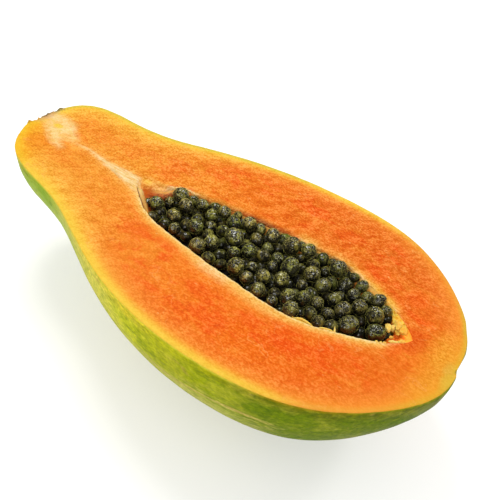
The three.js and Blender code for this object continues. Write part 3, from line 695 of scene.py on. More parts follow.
    # a dry tan rub
    rx, rz = m.mul(m.add(m.x, -53.0), 0.13), m.mul(m.add(below, -19.0), 0.75)
    rub = m.step(m.sway(m.math("SQRT", m.add(m.mul(rx, rx), m.mul(rz, rz))), fine, 1.2), 0.5, 1.2, 1.0, 0.0)
    rub = m.mul(rub, m.step(m.y, 0, -5), 0.4)
    other = m.step(m.noise(m.vec(pw, (0.35, 1, 1), (0, 50, 0)), 0.10, 3, 0.6), 0.63, 0.71)
    col = m.mix(m.mul(m.math("MAXIMUM", rub, m.mul(other, 0.6)), 0.8), col, S(180, 154, 74))
    # pale yellow-green line under the cut
    edge = m.step(m.sway(below, fine, 1.2), 0.2, 2.0, 1.0, 0.0)
    col = m.mix(m.mul(edge, m.step(m.sway(m.x, low, 40.0), -50, 40, 0.8, 0.7)), col, m.mix(m.step(m.x, 80, 96), m.mix(m.step(m.x, 45, 65), S(222, 208, 70), S(168, 138, 34)), S(152, 154, 34)))
    quiet = m.step(m.x, -60, -20, 0.45, 1.0)
    grain = m.mix(m.step(fine, 0.32, 0.68, kind="LINEAR"), (0.74, 0.79, 0.64, 1), (1.24, 1.20, 1.32, 1))
    col = m.mix(quiet, col, m.mix(1.0, col, grain, "MULTIPLY"))
    grain = m.mix(m.step(speck, 0.34, 0.66, kind="LINEAR"), (0.80, 0.84, 0.72, 1), (1.20, 1.15, 1.25, 1))
    col = m.mix(quiet, col, m.mix(1.0, col, grain, "MULTIPLY"))
    # browned stem end and blossom nub
    stem, tip = m.attr("stem_r"), m.attr("tip_r")
    cork = m.mix(m.step(m.noise(m.p, 1.3, 3, 0.65), 0.3, 0.7), S(64, 46, 22), S(158, 128, 78))
    col = m.mix(m.step(m.sway(stem, m.noise(m.p, 0.55, 3, 0.6), 8.0), 7.5, 12.0, 0.95, 0.0), col, cork)
    col = m.mix(m.step(m.sway(tip, fine, 2.0), 1.2, 3.6, 0.85, 0.0), col, S(74, 62, 26))

    pore = m.step(m.voronoi(m.p, 1.1), 0.0, 0.28)
    bumps = m.add(m.add(m.mul(m.noise(m.p, 0.35, 4, 0.6), 1.0), m.mul(fine, 0.35)), m.mul(pore, 0.12))
    m.set(Base_Color=col, Roughness=m.step(blotch, 0.3, 0.7, 0.40, 0.54), Normal=m.bump(bumps, 0.45, 0.5))
    m.bsdf.inputs["Specular IOR Level"].default_value = 0.02
    return m.mat


def cavity_material():
    m = Nodes("papaya_cavity_lining")
    deep = m.mul(m.attr("d_cav"), -1.0)
    wob = m.noise(m.p, 0.3, 4, 0.6)
    fibre = m.noise(m.vec(m.p, (0.45, 1, 1)), 1.0, 3, 0.62)
    col = m.mix(m.step(fibre, 0.38, 0.62), D(236, 116, 36), D(252, 176, 84))
    lip = m.step(m.sway(deep, wob, 2.0), 0.2, 2.6, 1.0, 0.0)
    col = m.mix(m.mul(lip, m.step(m.x, 10, 60, 0.35, 0.8)), col, D(252, 206, 110))
    col = m.mix(m.step(deep, 2, 10, 0.0, 0.7), col, D(208, 72, 22))
    # the stem tip, with painted shade in its hollow
    tip = m.step(m.sway(m.x, wob, 4.0), -30, -35)
    col = m.mix(tip, col, tip_tint(m, T, wob))
    # brown, fuzzy pulp under the far lip by the first seeds
    fuzz = m.mul(m.step(m.sway(deep, wob, 1.6), 0.3, 1.6), m.step(m.y, 1, 5), m.step(m.sway(m.x, wob, 4.0), -12, -18))
    col = m.mix(m.mul(fuzz, 0.85), col, m.mix(m.step(m.noise(m.p, 1.1, 2, 0.6), 0.40, 0.60), T(112, 46, 24), T(206, 110, 64)))
    # painted shade: a dark brown line for the shadow in the slit under the near lip at the stem end
    slit = m.mul(m.step(m.sway(deep, wob, 0.8), 1.3, 0.5), m.step(m.x, -29, -33), m.step(m.y, 0.5, -1.0))
    col = m.mix(m.mul(slit, 0.9), col, D(112, 56, 18))
    # pulp at the blossom end: yellow on the far wall with painted light on it, brown painted shade in the hollows,
    # cream where it is torn
    end = m.step(m.sway(m.x, wob, 5.0), 74, 80)
    # painted light: the far wall near the lip is yellower where light falls on it
    lit_yellow_wall = m.mul(m.step(m.sway(deep, wob, 2.4), 5.2, 3.0), m.step(m.y, 1, 5))
    # painted shade: the browns, darkest before x 82 to 86, where the wall lies in shadow
    pulp = m.mix(m.step(fibre, 0.40, 0.64), m.mix(m.step(m.x, 82, 86), D(150, 66, 22), D(188, 88, 26)), m.mix(m.step(m.x, 82, 86), D(212, 102, 34), D(238, 122, 42)))
    pulp = m.mix(lit_yellow_wall, pulp, m.mix(m.step(fibre, 0.36, 0.60), D(222, 158, 46), D(253, 208, 96)))
    pulp = m.mix(m.step(m.sway(m.x, wob, 3.0), 88.5, 91), pulp, D(252, 158, 58))
    col = m.mix(end, col, pulp)
    bit = m.attr("pulp")
    torn = m.mix(m.step(fibre, 0.34, 0.60), m.mix(m.step(bit, 0.2, 0.95, kind="LINEAR"), T(246, 166, 52), T(255, 206, 92)), m.mix(m.step(bit, 0.2, 0.95, kind="LINEAR"), T(255, 194, 68), T(255, 224, 124)))
    col = m.mix(m.step(bit, 0.01, 0.08), col, torn)
    m.set(Base_Color=col, Roughness=0.44, Normal=m.bump(m.add(m.mul(fibre, 0.7), m.mul(wob, 0.8)), 0.5, 0.7))
    b = m.bsdf.inputs
    b["Subsurface Weight"].default_value = 0.30
    b["Subsurface Radius"].default_value = (1.0, 0.4, 0.12)
    b["Subsurface Scale"].default_value = 0.0018
    b["Specular IOR Level"].default_value = 0.12
    return m.mat


def seed_material(name, bright):
    m = Nodes(name)
    tint, ridge, up = m.attr("tint"), m.attr("ridge"), m.attr("up")   # ridge is 1 on the folds of the coat; up, the height on the seed, puts painted light on its top
    warp = m.shift(m.p, m.noise(m.p, 0.55, 2, 0.5, colour=True), 0.9)
    cloud = m.noise(warp, 0.34, 2, 0.5)
    thread = m.math("ABSOLUTE", m.add(m.noise(warp, 0.50, 2, 0.5), -0.5))
    thread = m.step(thread, 0.003, 0.026, 1.0, 0.0)
    thread2 = m.math("ABSOLUTE", m.add(m.noise(m.vec(warp, (1, 1, 1), (9, 4, 7)), 0.62, 1, 0.5), -0.5))
    thread2 = m.step(thread2, 0.002, 0.020, 1.0, 0.0)
    dark = m.mix(tint, D(22, 31, 10), D(33, 32, 11))
    mid = m.mix(tint, D(88, 94, 34), D(120, 108, 46))
    light = m.mix(tint, D(200, 200, 100), D(236, 218, 134))
    # painted shade: seeds lower in the cavity, and those past x 30, are darker
    lit = m.mul(m.step(m.z, 58.5, 63.0, 0.22, 1.0), m.step(m.x, 30, 60, 1.0, 0.60))
    # painted light: the olive body shows more on the top of each seed
    body = m.mul(m.step(m.sway(up, cloud, 2.4), -0.1, 1.2), m.step(m.sway(cloud, ridge, 0.10), 0.47, 0.64), lit)
    col = m.mix(body, dark, mid)
    lines = m.math("MAXIMUM", thread, m.mul(thread2, 0.6))
    # painted light: the pale lines show more on the top of each seed
    lines = m.mul(lines, m.step(m.sway(up, m.noise(m.p, 0.42, 2, 0.5), 2.6), -0.1, 1.1, 0.05, 1.0), lit)
    col = m.mix(m.mul(lines, bright), col, light)
    wave = m.noise(m.vec(warp, (1, 1, 1), (3, 5, 1)), 0.6, 1, 0.5)
    h = m.add(m.mul(thread, 0.5), m.mul(m.noise(warp, 1.6, 2, 0.5), 0.6))
    m.set(Base_Color=col, Roughness=0.42, Normal=m.bump(h, 0.16, 0.6), Coat_Normal=m.bump(wave, 0.62, 0.5))
    b = m.bsdf.inputs
    b["Specular IOR Level"].default_value = 0.10
    b["Coat Weight"].default_value = 1.0 if bright > 0.5 else 0.45
    b["Coat Roughness"].default_value = 0.05
    b["Coat IOR"].default_value = 1.62
    b["Sheen Weight"].default_value = 0.78
    b["Sheen Roughness"].default_value = 0.26
    b["Sheen Tint"].default_value = (0.60, 0.56, 0.13, 1.0)
    return m.mat


def jelly_and_shade_material():
    m = Nodes("papaya_seed_jelly_and_shade")
    # painted shade: the jelly is near-black for the shade in the gaps between the seeds
    n = m.noise(m.p, 0.6, 3, 0.6)
    m.set(Base_Color=m.mix(n, D(12, 14, 6), D(32, 30, 12)), Roughness=0.62, Normal=m.bump(n, 0.4, 0.6))
    m.bsdf.inputs["Specular IOR Level"].default_value = 0.10
    return m.mat


FLESH, SKIN, LINING = flesh_material(), skin_material(), cavity_material()
# the lower seeds take a copy of the seed material with dimmer pale lines, as painted shade
SEED, SEED_LOW_SHADED, JELLY_AND_SHADE = seed_material("papaya_seed", 0.72), seed_material("papaya_seed_lower_shaded", 0.35), jelly_and_shade_material()


# ---------------------------------------------------------------- the half fruit
N = 361            # stations on each side
J = 64             # rows of skin from rim to rim
JC = 34            # rows of cavity wall
EDGE_IN = [0, .12, .28, .5, .8, 1.2, 1.7, 2.3, 3.1, 4.1]
EDGE_OUT = [0, .07, .16, .28, .44, .66, .95, 1.4, 2.1, 3.1]
MIDDLE = 62

outline, arc = spline(PROFILE, N)
px, pr = outline[:, 0], np.maximum(outline[:, 1], 0)
pr[0] = pr[-1] = 0
mid_table = np.array(MIDLINE)
dense_x = np.linspace(-115, 115, 461)
dense_y = np.interp(dense_x, mid_table[:, 0], mid_table[:, 1])
kernel = np.hanning(31)
kernel /= kernel.sum()
dense_y = np.convolve(np.pad(dense_y, 15, "edge"), kernel, "valid")
mid = np.interp(px, dense_x, dense_y)

hole, _ = spline(CAVITY, N)
hx, hr = hole[:, 0], np.maximum(hole[:, 1], 0)
hr[0] = hr[-1] = 0

M = 2 * N - 2
side = np.concatenate([np.arange(N), np.arange(N - 2, 0, -1)])
sign = np.concatenate([np.ones(N), -np.ones(N - 2)])
out_ring = np.stack([px[side], mid[side] + sign * pr[side]], 1)
in_ring = np.stack([hx[side], sign * hr[side]], 1)

# the knife's outline wanders a little, and the cavity's edge is torn
def ring_normals(ring):
    t = np.roll(ring, -1, 0) - np.roll(ring, 1, 0)
    n = np.stack([t[:, 1], -t[:, 0]], 1)
    n /= np.maximum(np.linalg.norm(n, axis=1), 1e-9)[:, None]
    c = ring.mean(0)
    n *= np.sign(((ring - c) * n).sum(1))[:, None]
    return n


def lift(ring, z=0.0):
    return np.concatenate([ring, np.full((len(ring), 1), z)], 1)


in_n = ring_normals(in_ring)
tear = 0.55 * fbm(lift(in_ring), 0.16, 2, 5) + 0.28 * fbm(lift(in_ring), 0.7, 2, 9)
tear *= smooth(hr[side], 0.5, 5) * (1 + 0.5 * smooth(in_ring[:, 1], 2, 8))
in_ring = in_ring + in_n * tear[:, None]
out_n = ring_normals(out_ring)
wave = 0.16 * fbm(lift(out_ring), 0.10, 2, 15) - 0.10
wave *= smooth(pr[side], 2, 12)
out_ring = out_ring + out_n * wave[:, None]
# the cavity is wider behind the first seed, and the blossom end is flatter on its far side
in_ring += in_n * (1.8 * np.exp(-((in_ring[:, 0] + 29) / 3.6) ** 2) * (in_ring[:, 1] > 0))[:, None]


def blossom(x, y):
    return -0.85 * smooth(y, -6.4, -2.4) * smooth(y, 30, 18) * smooth(x, 96, 112)


out_ring[:, 0] += blossom(out_ring[:, 0], out_ring[:, 1]) - 0.35 * smooth(out_ring[:, 0], 108, 113)
# the corner by the stalk stands out
def corner(x, y):
    return -1.3 * np.exp(-((y - 1.2) / np.where(y < 1.2, 6.5, 3.0)) ** 2) * smooth(-x, 107, 112)


out_ring[:, 0] += corner(out_ring[:, 0], out_ring[:, 1])
ragged = np.clip(1.5 * perlin(lift(out_ring) * 0.8 + 1.7, 93) + 0.35, 0, 1) * smooth(-out_ring[:, 0], 112, 114)
ragged *= smooth(out_ring[:, 1], -1, 2) * smooth(out_ring[:, 1], 24, 20)
out_ring[:, 0] += 0.8 * ragged

RHO = 0.42 * smooth(pr, 1, 10)                  # rounding of the rim
RHOC = 0.9 * smooth(hr, 0.5, 6) * (1 - 0.75 * smooth(hx, 60, 74)) * (1 - 0.5 * smooth(-hx, 18, 26))   # rounding of the cavity's edge

# cut face rows, from the cavity out
span = np.linalg.norm(out_ring - in_ring, axis=1)
a = np.array(EDGE_IN)[None] * np.ones((M, 1))
b = span[:, None] - np.array(EDGE_OUT[::-1])[None]
mid_rows = a[:, -1:] + (b[:, :1] - a[:, -1:]) * (np.arange(1, MIDDLE + 1) / (MIDDLE + 1))[None]
rows = np.concatenate([a, mid_rows, b], 1) / span[:, None]
R = rows.shape[1]
face_xy = in_ring[:, None, :] + (out_ring - in_ring)[:, None, :] * rows[..., None]
flat = face_xy.reshape(-1, 2)
d_out = segment_distance(flat, out_ring)
d_in = segment_distance(flat, in_ring)
sd_scar = signed(flat, SCAR_PATCH)
sd_strand = signed(flat, STRAND)

p3 = lift(flat)
z = 0.22 * fbm(p3, 0.022, 2, 21) + 0.10 * fbm(p3, 0.11, 3, 25) + 0.035 * fbm(p3, 0.6, 2, 31)
z -= 0.35 * np.exp(-(d_in / 5.0) ** 2)          # the flesh sinks a little to the cavity
z += 0.10 * fbm(p3 * [1, 3, 1], 0.25, 2, 37) * smooth(-sd_strand, -1, 1.5)
z += (0.35 * smooth(-sd_strand, -0.8, 1.2) - 0.10) * smooth(d_in, 0.5, 4) * smooth(-flat[:, 0], 40, 52)
slit = segment_distance(flat, np.array([[-62.5, 1.3], [-59, 0.5], [-55.6, -1.0]]), closed=False)
z -= 0.9 * np.exp(-(slit / 0.45) ** 2)
z += 0.16 * fbm(p3, 0.5, 3, 41) * smooth(-sd_scar, -2, 2)
sd_pocket = signed(flat, POCKET)
flap = smooth(-sd_pocket, -0.5, 1.5)
z -= flap * (0.75 + 0.9 * smooth(-d_in, -3.5, 0))
z += 0.35 * np.exp(-((sd_pocket - 0.2) / 0.8) ** 2) * smooth(flat[:, 1], 3.5, 6) * smooth(-flat[:, 0], 34, 40)
# broken nubs where the stalk came away
stem_dist = segment_distance(flat, STEM_EDGE, closed=False)
nubs = np.clip(1.3 * perlin(flat @ np.array([[0.25, 0, 0], [0, 0.62, 0]]) + 3.3, 91) + 0.7 * perlin(p3 * 1.3, 92) + 0.25, 0, 1.1)
for y0, w, high in ((1.6, 0.8, 2.1), (7.6, 1.2, 1.1), (16.2, 1.4, 0.6), (20.6, 0.9, 0.4)):
    nubs = nubs + high * np.exp(-((flat[:, 1] - y0) / w) ** 2)
z += nubs * smooth(2.0 - stem_dist, 0, 1.4)
rho = np.repeat(RHO[side], R)
rhoc = np.repeat(RHOC[side], R)
q = np.clip(rho - d_out, 0, None)
z -= rho - np.sqrt(np.maximum(rho ** 2 - q ** 2, 0))
q = np.clip(rhoc - d_in, 0, None)
z -= rhoc - np.sqrt(np.maximum(rhoc ** 2 - q ** 2, 0))
face_z = CUT + z
# the two rings of the face share their height with the skin and the cavity wall
face_z = face_z.reshape(M, R)
xyz = np.concatenate([face_xy, face_z[..., None]], 2)

verts = [xyz.reshape(-1, 3)]
face_id = np.arange(M * R).reshape(M, R)
faces, face_mat, uvs = [], [], []
UVK = 0.98 / 230.0


def face_uv(x, y):
    return 0.01 + (x + 115.0) * UVK, 0.43 + (y + 65.6) * UVK


fx = np.clip(xyz[..., 0], -117, 115.4)
fu, fv = face_uv(fx, xyz[..., 1])
for k in range(M):
    k2 = (k + 1) % M
    i0, i1 = face_id[k], face_id[k2]
    for r in range(R - 1):
        faces.append((i0[r], i1[r], i1[r + 1], i0[r + 1]))
        uvs += [(fu[k, r], fv[k, r]), (fu[k2, r], fv[k2, r]), (fu[k2, r + 1], fv[k2, r + 1]), (fu[k, r + 1], fv[k, r + 1])]
face_mat += [0] * (M * (R - 1))

attrs = {
    "d_skin": [d_out], "d_cav": [d_in], "sd_scar": [sd_scar], "sd_strand": [sd_strand],
    "stem_r": [np.full(len(flat), 99.0)], "tip_r": [np.full(len(flat), 99.0)],
    "stem_edge": [stem_dist], "sd_pocket": [sd_pocket],
}
count = M * R


def ring_index(i, upper):
    """Position of station i in the rings."""
    if i == 0 or i == N - 1 or upper:
        return i
    return M - i


# skin
phi0 = np.zeros(N)
phi0[1:-1] = np.arcsin(np.clip(RHO[1:-1] / (DEPTH_SCALE * np.maximum(pr[1:-1], 1e-6)), 0, 0.9))
ids = np.zeros((N, J + 1), int)
pts, dsk, srr = [], [], []
for i in range(N):
    top, low = ring_index(i, True), ring_index(i, False)
    ids[i, 0] = face_id[top, R - 1]
    ids[i, J] = face_id[low, R - 1]
    if i in (0, N - 1):
        ids[i, :] = face_id[top, R - 1]
        continue
    phi = phi0[i] + (math.pi - 2 * phi0[i]) * np.arange(1, J) / J
    y = mid[i] + pr[i] * np.cos(phi)
    zz = CUT - DEPTH_SCALE * pr[i] * np.sin(phi)
    pts.append(np.stack([np.full(J - 1, px[i]), y, zz], 1))
    dsk.append(-pr[i] * np.minimum(phi, math.pi - phi))
    ids[i, 1:J] = count + np.arange(J - 1)
    count += J - 1
pts = np.concatenate(pts)
dsk = np.concatenate(dsk)
# outward direction of the skin, for its unevenness
slope = np.gradient(pr, px + 1e-9 * np.arange(N))
axis_y = np.interp(pts[:, 0], px, mid)
rad = np.stack([np.zeros(len(pts)), pts[:, 1] - axis_y, pts[:, 2] - CUT], 1)
rr = np.maximum(np.linalg.norm(rad, axis=1), 1e-6)
rad /= rr[:, None]
ang = np.arctan2(rad[:, 2], rad[:, 1])
dent = 0.30 * fbm(pts, 0.016, 2, 51) + 0.12 * fbm(pts, 0.06, 3, 55) + 0.035 * fbm(pts, 0.4, 3, 59)
ribs = 0.45 * np.cos(5 * ang + 0.6) * smooth(rr, 12, 45) * (0.5 + 0.5 * smooth(np.abs(pts[:, 0] - 10), 90, 20))
fade = smooth(-dsk, 0, 7) * smooth(rr, 1, 8)
pts = pts + rad * ((dent + ribs - 0.42) * fade)[:, None]
# stem end: a shallow dish with a rough rim where the stalk came off
pts[:, 0] += blossom(pts[:, 0], pts[:, 1]) + corner(pts[:, 0], pts[:, 1]) * np.exp(-(dsk / 6.0) ** 2)
stem = np.sqrt((pts[:, 1] - 11.4) ** 2 + (pts[:, 2] - CUT) ** 2)
near = pts[:, 0] < -100
lump = 0.9 * np.exp(-((stem - 8.5) / 2.6) ** 2) * (0.5 + 0.9 * np.clip(fbm(pts, 0.45, 3, 61), -0.5, 1))
dish = -1.3 * np.exp(-(stem / 5.5) ** 2)
pts[:, 0] += np.where(near, -(lump - 0.15) + -dish, 0) * smooth(-dsk, 0, 1.0)
tip = np.sqrt((pts[:, 1] + 1.0) ** 2 + (pts[:, 2] - CUT) ** 2)
pts[:, 0] -= np.where(pts[:, 0] > 105, 1.1 * np.exp(-(tip / 2.6) ** 2) + 0.25 * np.exp(-(tip / 7.0) ** 2), 0)
# it lies on a small flat spot
zz = pts[:, 2]
k = 0.5
pts[:, 2] = np.where(zz < 2 * k, np.where(zz < -2 * k, 0, (zz + 2 * k) ** 2 / (8 * k)), zz)
pts[:, 2] = np.maximum(pts[:, 2], 0)
verts.append(pts)
attrs["d_skin"].append(dsk)
attrs["d_cav"].append(np.full(len(pts), 40.0))
attrs["sd_scar"].append(np.full(len(pts), 40.0))
attrs["sd_strand"].append(np.full(len(pts), 40.0))
attrs["stem_r"].append(np.where(near, stem, 99.0))
attrs["tip_r"].append(np.where(pts[:, 0] > 105, tip, 99.0))
attrs["stem_edge"].append(np.full(len(pts), 99.0))
attrs["sd_pocket"].append(np.full(len(pts), 40.0))

su = 0.01 + 0.98 * arc / arc[-1]
sv = 0.01 + 0.40 * np.arange(J + 1) / J
for i in range(N - 1):
    for j in range(J):
        if i == 0:
            faces.append((ids[0, 0], ids[1, j], ids[1, j + 1]))
            uvs += [(su[0], (sv[j] + sv[j + 1]) / 2), (su[1], sv[j]), (su[1], sv[j + 1])]
        elif i == N - 2:
            faces.append((ids[i, j + 1], ids[i, j], ids[N - 1, 0]))
            uvs += [(su[i], sv[j + 1]), (su[i], sv[j]), (su[N - 1], (sv[j] + sv[j + 1]) / 2)]
        else:
            faces.append((ids[i, j], ids[i + 1, j], ids[i + 1, j + 1], ids[i, j + 1]))
            uvs += [(su[i], sv[j]), (su[i + 1], sv[j]), (su[i + 1], sv[j + 1]), (su[i], sv[j + 1])]
        face_mat.append(1)

# cavity wall
t_rows = np.arange(JC + 1) / JC
t_rows = t_rows - 0.09 * np.sin(2 * math.pi * t_rows)       # closer rows by the edges
ids = np.zeros((N, JC + 1), int)
pts, dcv, far = [], [], []
for i in range(N):
    top, low = ring_index(i, True), ring_index(i, False)
    ids[i, 0], ids[i, JC] = face_id[top, 0], face_id[low, 0]
    if i in (0, N - 1):
        ids[i, :] = face_id[top, 0]
        continue
    t = t_rows[1:-1]
    f0 = math.asin(min(0.95, (CUT - face_z[top, 0]) / max(hr[i], 0.3)))
    f1 = math.asin(min(0.95, (CUT - face_z[low, 0]) / max(hr[i], 0.3)))
    phi = f0 + (math.pi - f0 - f1) * t
    down = hr[i] * np.minimum(phi - f0, math.pi - f1 - phi)  # distance below the edge
    upper = t < 0.5
    hold = np.exp(-down / 2.0)                               # stays with the torn edge at first
    ex = np.where(upper, in_ring[top, 0], in_ring[low, 0])
    ey = np.where(upper, in_ring[top, 1], -in_ring[low, 1])
    inset = np.minimum(1.1 * smooth(down, 0, 3.4), 0.4 * hr[i])
    rad_y = (hr[i] + (ey - hr[i]) * hold) - inset
    y = np.cos(phi) * rad_y
    z = CUT - np.sin(phi) * (hr[i] - inset * 0.6)
    pts.append(np.stack([hx[i] + (ex - hx[i]) * hold, y, z], 1))
    dcv.append(-down)
    far.append(smooth(t, 0.8, 0.3))
    ids[i, 1:JC] = count + np.arange(JC - 1)
    count += JC - 1
pts, dcv, far = np.concatenate(pts), np.concatenate(dcv), np.concatenate(far)
down = -dcv
rad = np.stack([np.zeros(len(pts)), pts[:, 1], pts[:, 2] - CUT], 1)
rr = np.maximum(np.linalg.norm(rad, axis=1), 1e-6)
rad /= rr[:, None]
ang = np.arctan2(rad[:, 2], rad[:, 1])
flute = 0.30 * np.cos(5 * ang + 0.9) + 0.40 * fbm(pts, 0.16, 3, 71) + 0.25 * fbm(pts * [0.5, 1, 1], 0.7, 3, 75)
move = np.minimum(flute, 0.25) * smooth(down, 0.3, 4) * smooth(rr, 1, 6)
# the hollow at the stem end is shallow, with a soft step on each side
at_tip = smooth(-pts[:, 0], 30, 38)
move -= rr * at_tip * smooth(down, 0, 3.0) * (0.30 + 0.22 * far + 0.10 * fbm(pts, 0.30, 2, 77))
shelf = at_tip * (1 - far) * np.exp(-((down - 2.0) / 0.9) ** 2)
# pulp that tore loose fills the blossom end
at_end = smooth(pts[:, 0], 80.5, 88)
lumps = 0.5 + 0.9 * fbm(pts, 0.30, 2, 78) + 0.6 * fbm(pts, 0.75, 2, 79)
move -= rr * at_end * smooth(down, 0.3, 3.8) * np.clip(0.16 + 0.40 * lumps, 0.05, 0.66)
pts = pts + rad * move[:, None]
pts[:, 2] += 0.55 * shelf
verts.append(pts)
attrs["d_skin"].append(np.full(len(pts), 40.0))
attrs["d_cav"].append(dcv)
for key in ("sd_scar", "sd_strand", "sd_pocket", "stem_r", "tip_r", "stem_edge"):
    attrs[key].append(np.full(len(pts), 40.0))
for i in range(N - 1):
    def cu(ii, j):
        top, low = ring_index(ii, True), ring_index(ii, False)
        t = j / JC
        y = in_ring[top, 1] * (1 - t) + in_ring[low, 1] * t
        x = in_ring[top, 0] * (1 - t) + in_ring[low, 0] * t
        return face_uv(x, y)
    for j in range(JC):
        if i == 0:
            a0 = face_uv(in_ring[0, 0], in_ring[0, 1])
            faces.append((ids[0, 0], ids[1, j + 1], ids[1, j]))
            uvs += [a0, cu(1, j + 1), cu(1, j)]
        elif i == N - 2:
            a0 = face_uv(in_ring[N - 1, 0], in_ring[N - 1, 1])
            faces.append((ids[i, j], ids[i, j + 1], ids[N - 1, 0]))
            uvs += [cu(i, j), cu(i, j + 1), a0]
        else:
            faces.append((ids[i, j], ids[i, j + 1], ids[i + 1, j + 1], ids[i + 1, j]))
            uvs += [cu(i, j), cu(i, j + 1), cu(i + 1, j + 1), cu(i + 1, j)]
        face_mat.append(2)

# torn pulp at the blossom end, and slivers along the near edge, all sunk into the wall
ball, ball_quads, ball_uv = cube_sphere(8)


def add_bit(points, polys, uv, where, paleness):
    """A closed bit of pulp. Its sheet takes one cell of the spare corner of the fruit's sheet."""
    global count
    cu0, cv0 = 0.014 + 0.0245 * (where % 7), 0.912 + 0.026 * (where // 7)
    verts.append(points)
    faces.extend(tuple(int(v) + count for v in f) for f in polys)
    uvs.extend((cu0 + 0.023 * a, cv0 + 0.0245 * b) for a, b in uv)
    face_mat.extend([2] * len(polys))
    n = len(points)
    attrs["d_skin"].append(np.full(n, 40.0))
    attrs["d_cav"].append(np.full(n, -1.0))
    for key in ("sd_scar", "sd_strand", "sd_pocket", "stem_r", "tip_r", "stem_edge"):
        attrs[key].append(np.full(n, 40.0))
    attrs["pulp"].append(np.full(n, paleness))
    count += n


attrs["pulp"] = [np.zeros(count)]
for i, (x, y, zc, la, lb, lc, turned, paleness) in enumerate(PULP):
    wob = np.stack([perlin(ball * 1.1 + 6.1 * i + 30 * c, 401 + c) for c in range(3)], 1)
    folds = np.abs(perlin((ball * [0.8, 2.4, 2.0] + 0.5 * wob) + 4.3 * i, 405))
    p = (ball + 0.34 * wob * [0.6, 1, 1]) * (1 + 0.34 * fbm(ball, 1.8, 2, 411 + i) - 0.24 * (0.5 - folds))[:, None]
    p = p * [la, lb, lc]
    p[:, 1] += 0.16 * (p[:, 0] ** 2) / la * (1 if i % 2 else -1)
    p = p @ np.array(Matrix.Rotation(math.radians(turned), 3, "Z")).T
    add_bit(p + [x, y, zc], ball_quads, ball_uv, i, paleness)
for i, path in enumerate(SLIVERS):
    path = np.array(path)
    nl, na = 18, 8
    s = np.linspace(0, len(path) - 1, nl)
    way, _ = spline(path[:, [0, 1]], nl)
    zz = np.interp(s, np.arange(len(path)), path[:, 2])
    half = np.interp(s, np.arange(len(path)), path[:, 3])
    centre = np.concatenate([way, zz[:, None]], 1)
    along = np.gradient(centre, axis=0)
    along /= np.linalg.norm(along, axis=1)[:, None]
    across = np.cross(along, [0, 0, 1.0])
    across /= np.linalg.norm(across, axis=1)[:, None]
    over = np.cross(across, along)
    th = 2 * math.pi * np.arange(na) / na
    tube = centre[:, None] + half[:, None, None] * (0.75 * np.cos(th)[None, :, None] * across[:, None] + 1.0 * np.sin(th)[None, :, None] * over[:, None])
    tube = tube.reshape(-1, 3)
    tube += 0.10 * np.stack([perlin(tube * 1.4 + 50 * c, 431 + c) for c in range(3)], 1)
    p = np.concatenate([tube, centre[:1] - along[:1] * 0.15, centre[-1:] + along[-1:] * 0.15])
    polys, uv = [], []
    for a in range(nl - 1):
        for b in range(na):
            c = (b + 1) % na
            polys.append((a * na + b, (a + 1) * na + b, (a + 1) * na + c, a * na + c))
            ua, ub, va, vb = (a + 1) / (nl + 1), (a + 2) / (nl + 1), b / na, (b + 1) / na
            uv += [(ua, va), (ub, va), (ub, vb), (ua, vb)]
    for b in range(na):
        c = (b + 1) % na
        polys.append((nl * na, b, c))
        uv += [(0, (b + 0.5) / na), (1 / (nl + 1), b / na), (1 / (nl + 1), (b + 1) / na)]
        polys.append((nl * na + 1, (nl - 1) * na + c, (nl - 1) * na + b))
        uv += [(1, (b + 0.5) / na), (nl / (nl + 1), (b + 1) / na), (nl / (nl + 1), b / na)]
    add_bit(p, polys, uv, len(PULP) + i, 0.95)

verts = np.concatenate(verts)
attrs = {k: np.concatenate(v) for k, v in attrs.items()}
fruit = to_mesh("papaya_flesh_and_skin", verts, [tuple(int(v) for v in f) for f in faces],
                [FLESH, SKIN, LINING], face_mat, uvs, attrs)
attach(fruit, "root")
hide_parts("papaya_half")


# ---------------------------------------------------------------- seeds
def turn(i):
    def rot(axis, a):
        return np.array(Matrix.Rotation(a, 3, axis))
    return rot("Z", 3.1 * i) @ rot("Y", 2.3 * i) @ rot("X", 1.7 * i)


def seed_shape(ball, i, r, grow, seed):
    """A seed in its jelly coat: an ovoid with wandering folds. Returns points about its centre, the fold height, 0 to
    1, and the height over the radius that puts painted light on the seed's top.
    """
    n1 = perlin(ball * 1.25 + 9.1 * i, seed)
    n2 = perlin(ball * 2.6 + 3.7 * i, seed + 1)
    warp = np.stack([perlin(ball * 1.6 + 5.3 * i + 40 * c, seed + 2 + c) for c in range(3)], 1)
    f1 = perlin((ball * [1, 0.8, 1] + 0.40 * warp) * 2.1 + 7.7 * i, seed + 6)
    f2 = perlin((ball + 0.30 * warp) * 3.9 + 2.9 * i, seed + 7)
    ridge = np.maximum(np.exp(-(f1 / 0.13) ** 2), 0.75 * np.exp(-(f2 / 0.13) ** 2))
    k = 1 + 0.05 * n1 + 0.03 * n2 + 0.085 * (ridge - 0.35) + 0.05 * ball[:, 0]
    p = (ball * SEED_ASPECT * [1.07, 0.98, 0.97] * (r * grow) * k[:, None]) @ turn(i).T
    return p, ridge, p[:, 2] / r


ball, quads, ball_uv = cube_sphere(24)
quad_list = [tuple(int(v) for v in f) for f in quads]
rng = np.random.RandomState(7)
for i, (x, y, zc, r) in enumerate(SEEDS):
    p, ridge, up = seed_shape(ball, i + 1, r, 1.12, 200)
    o = to_mesh("seed_%02d_in_its_coat" % (i + 1), p + [x, y, zc], quad_list, [SEED], None, ball_uv,
                {"ridge": ridge, "up": up, "tint": np.full(len(p), rng.uniform(0, 1))})
    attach(o, "root")
    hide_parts("seed_%02d" % (i + 1))

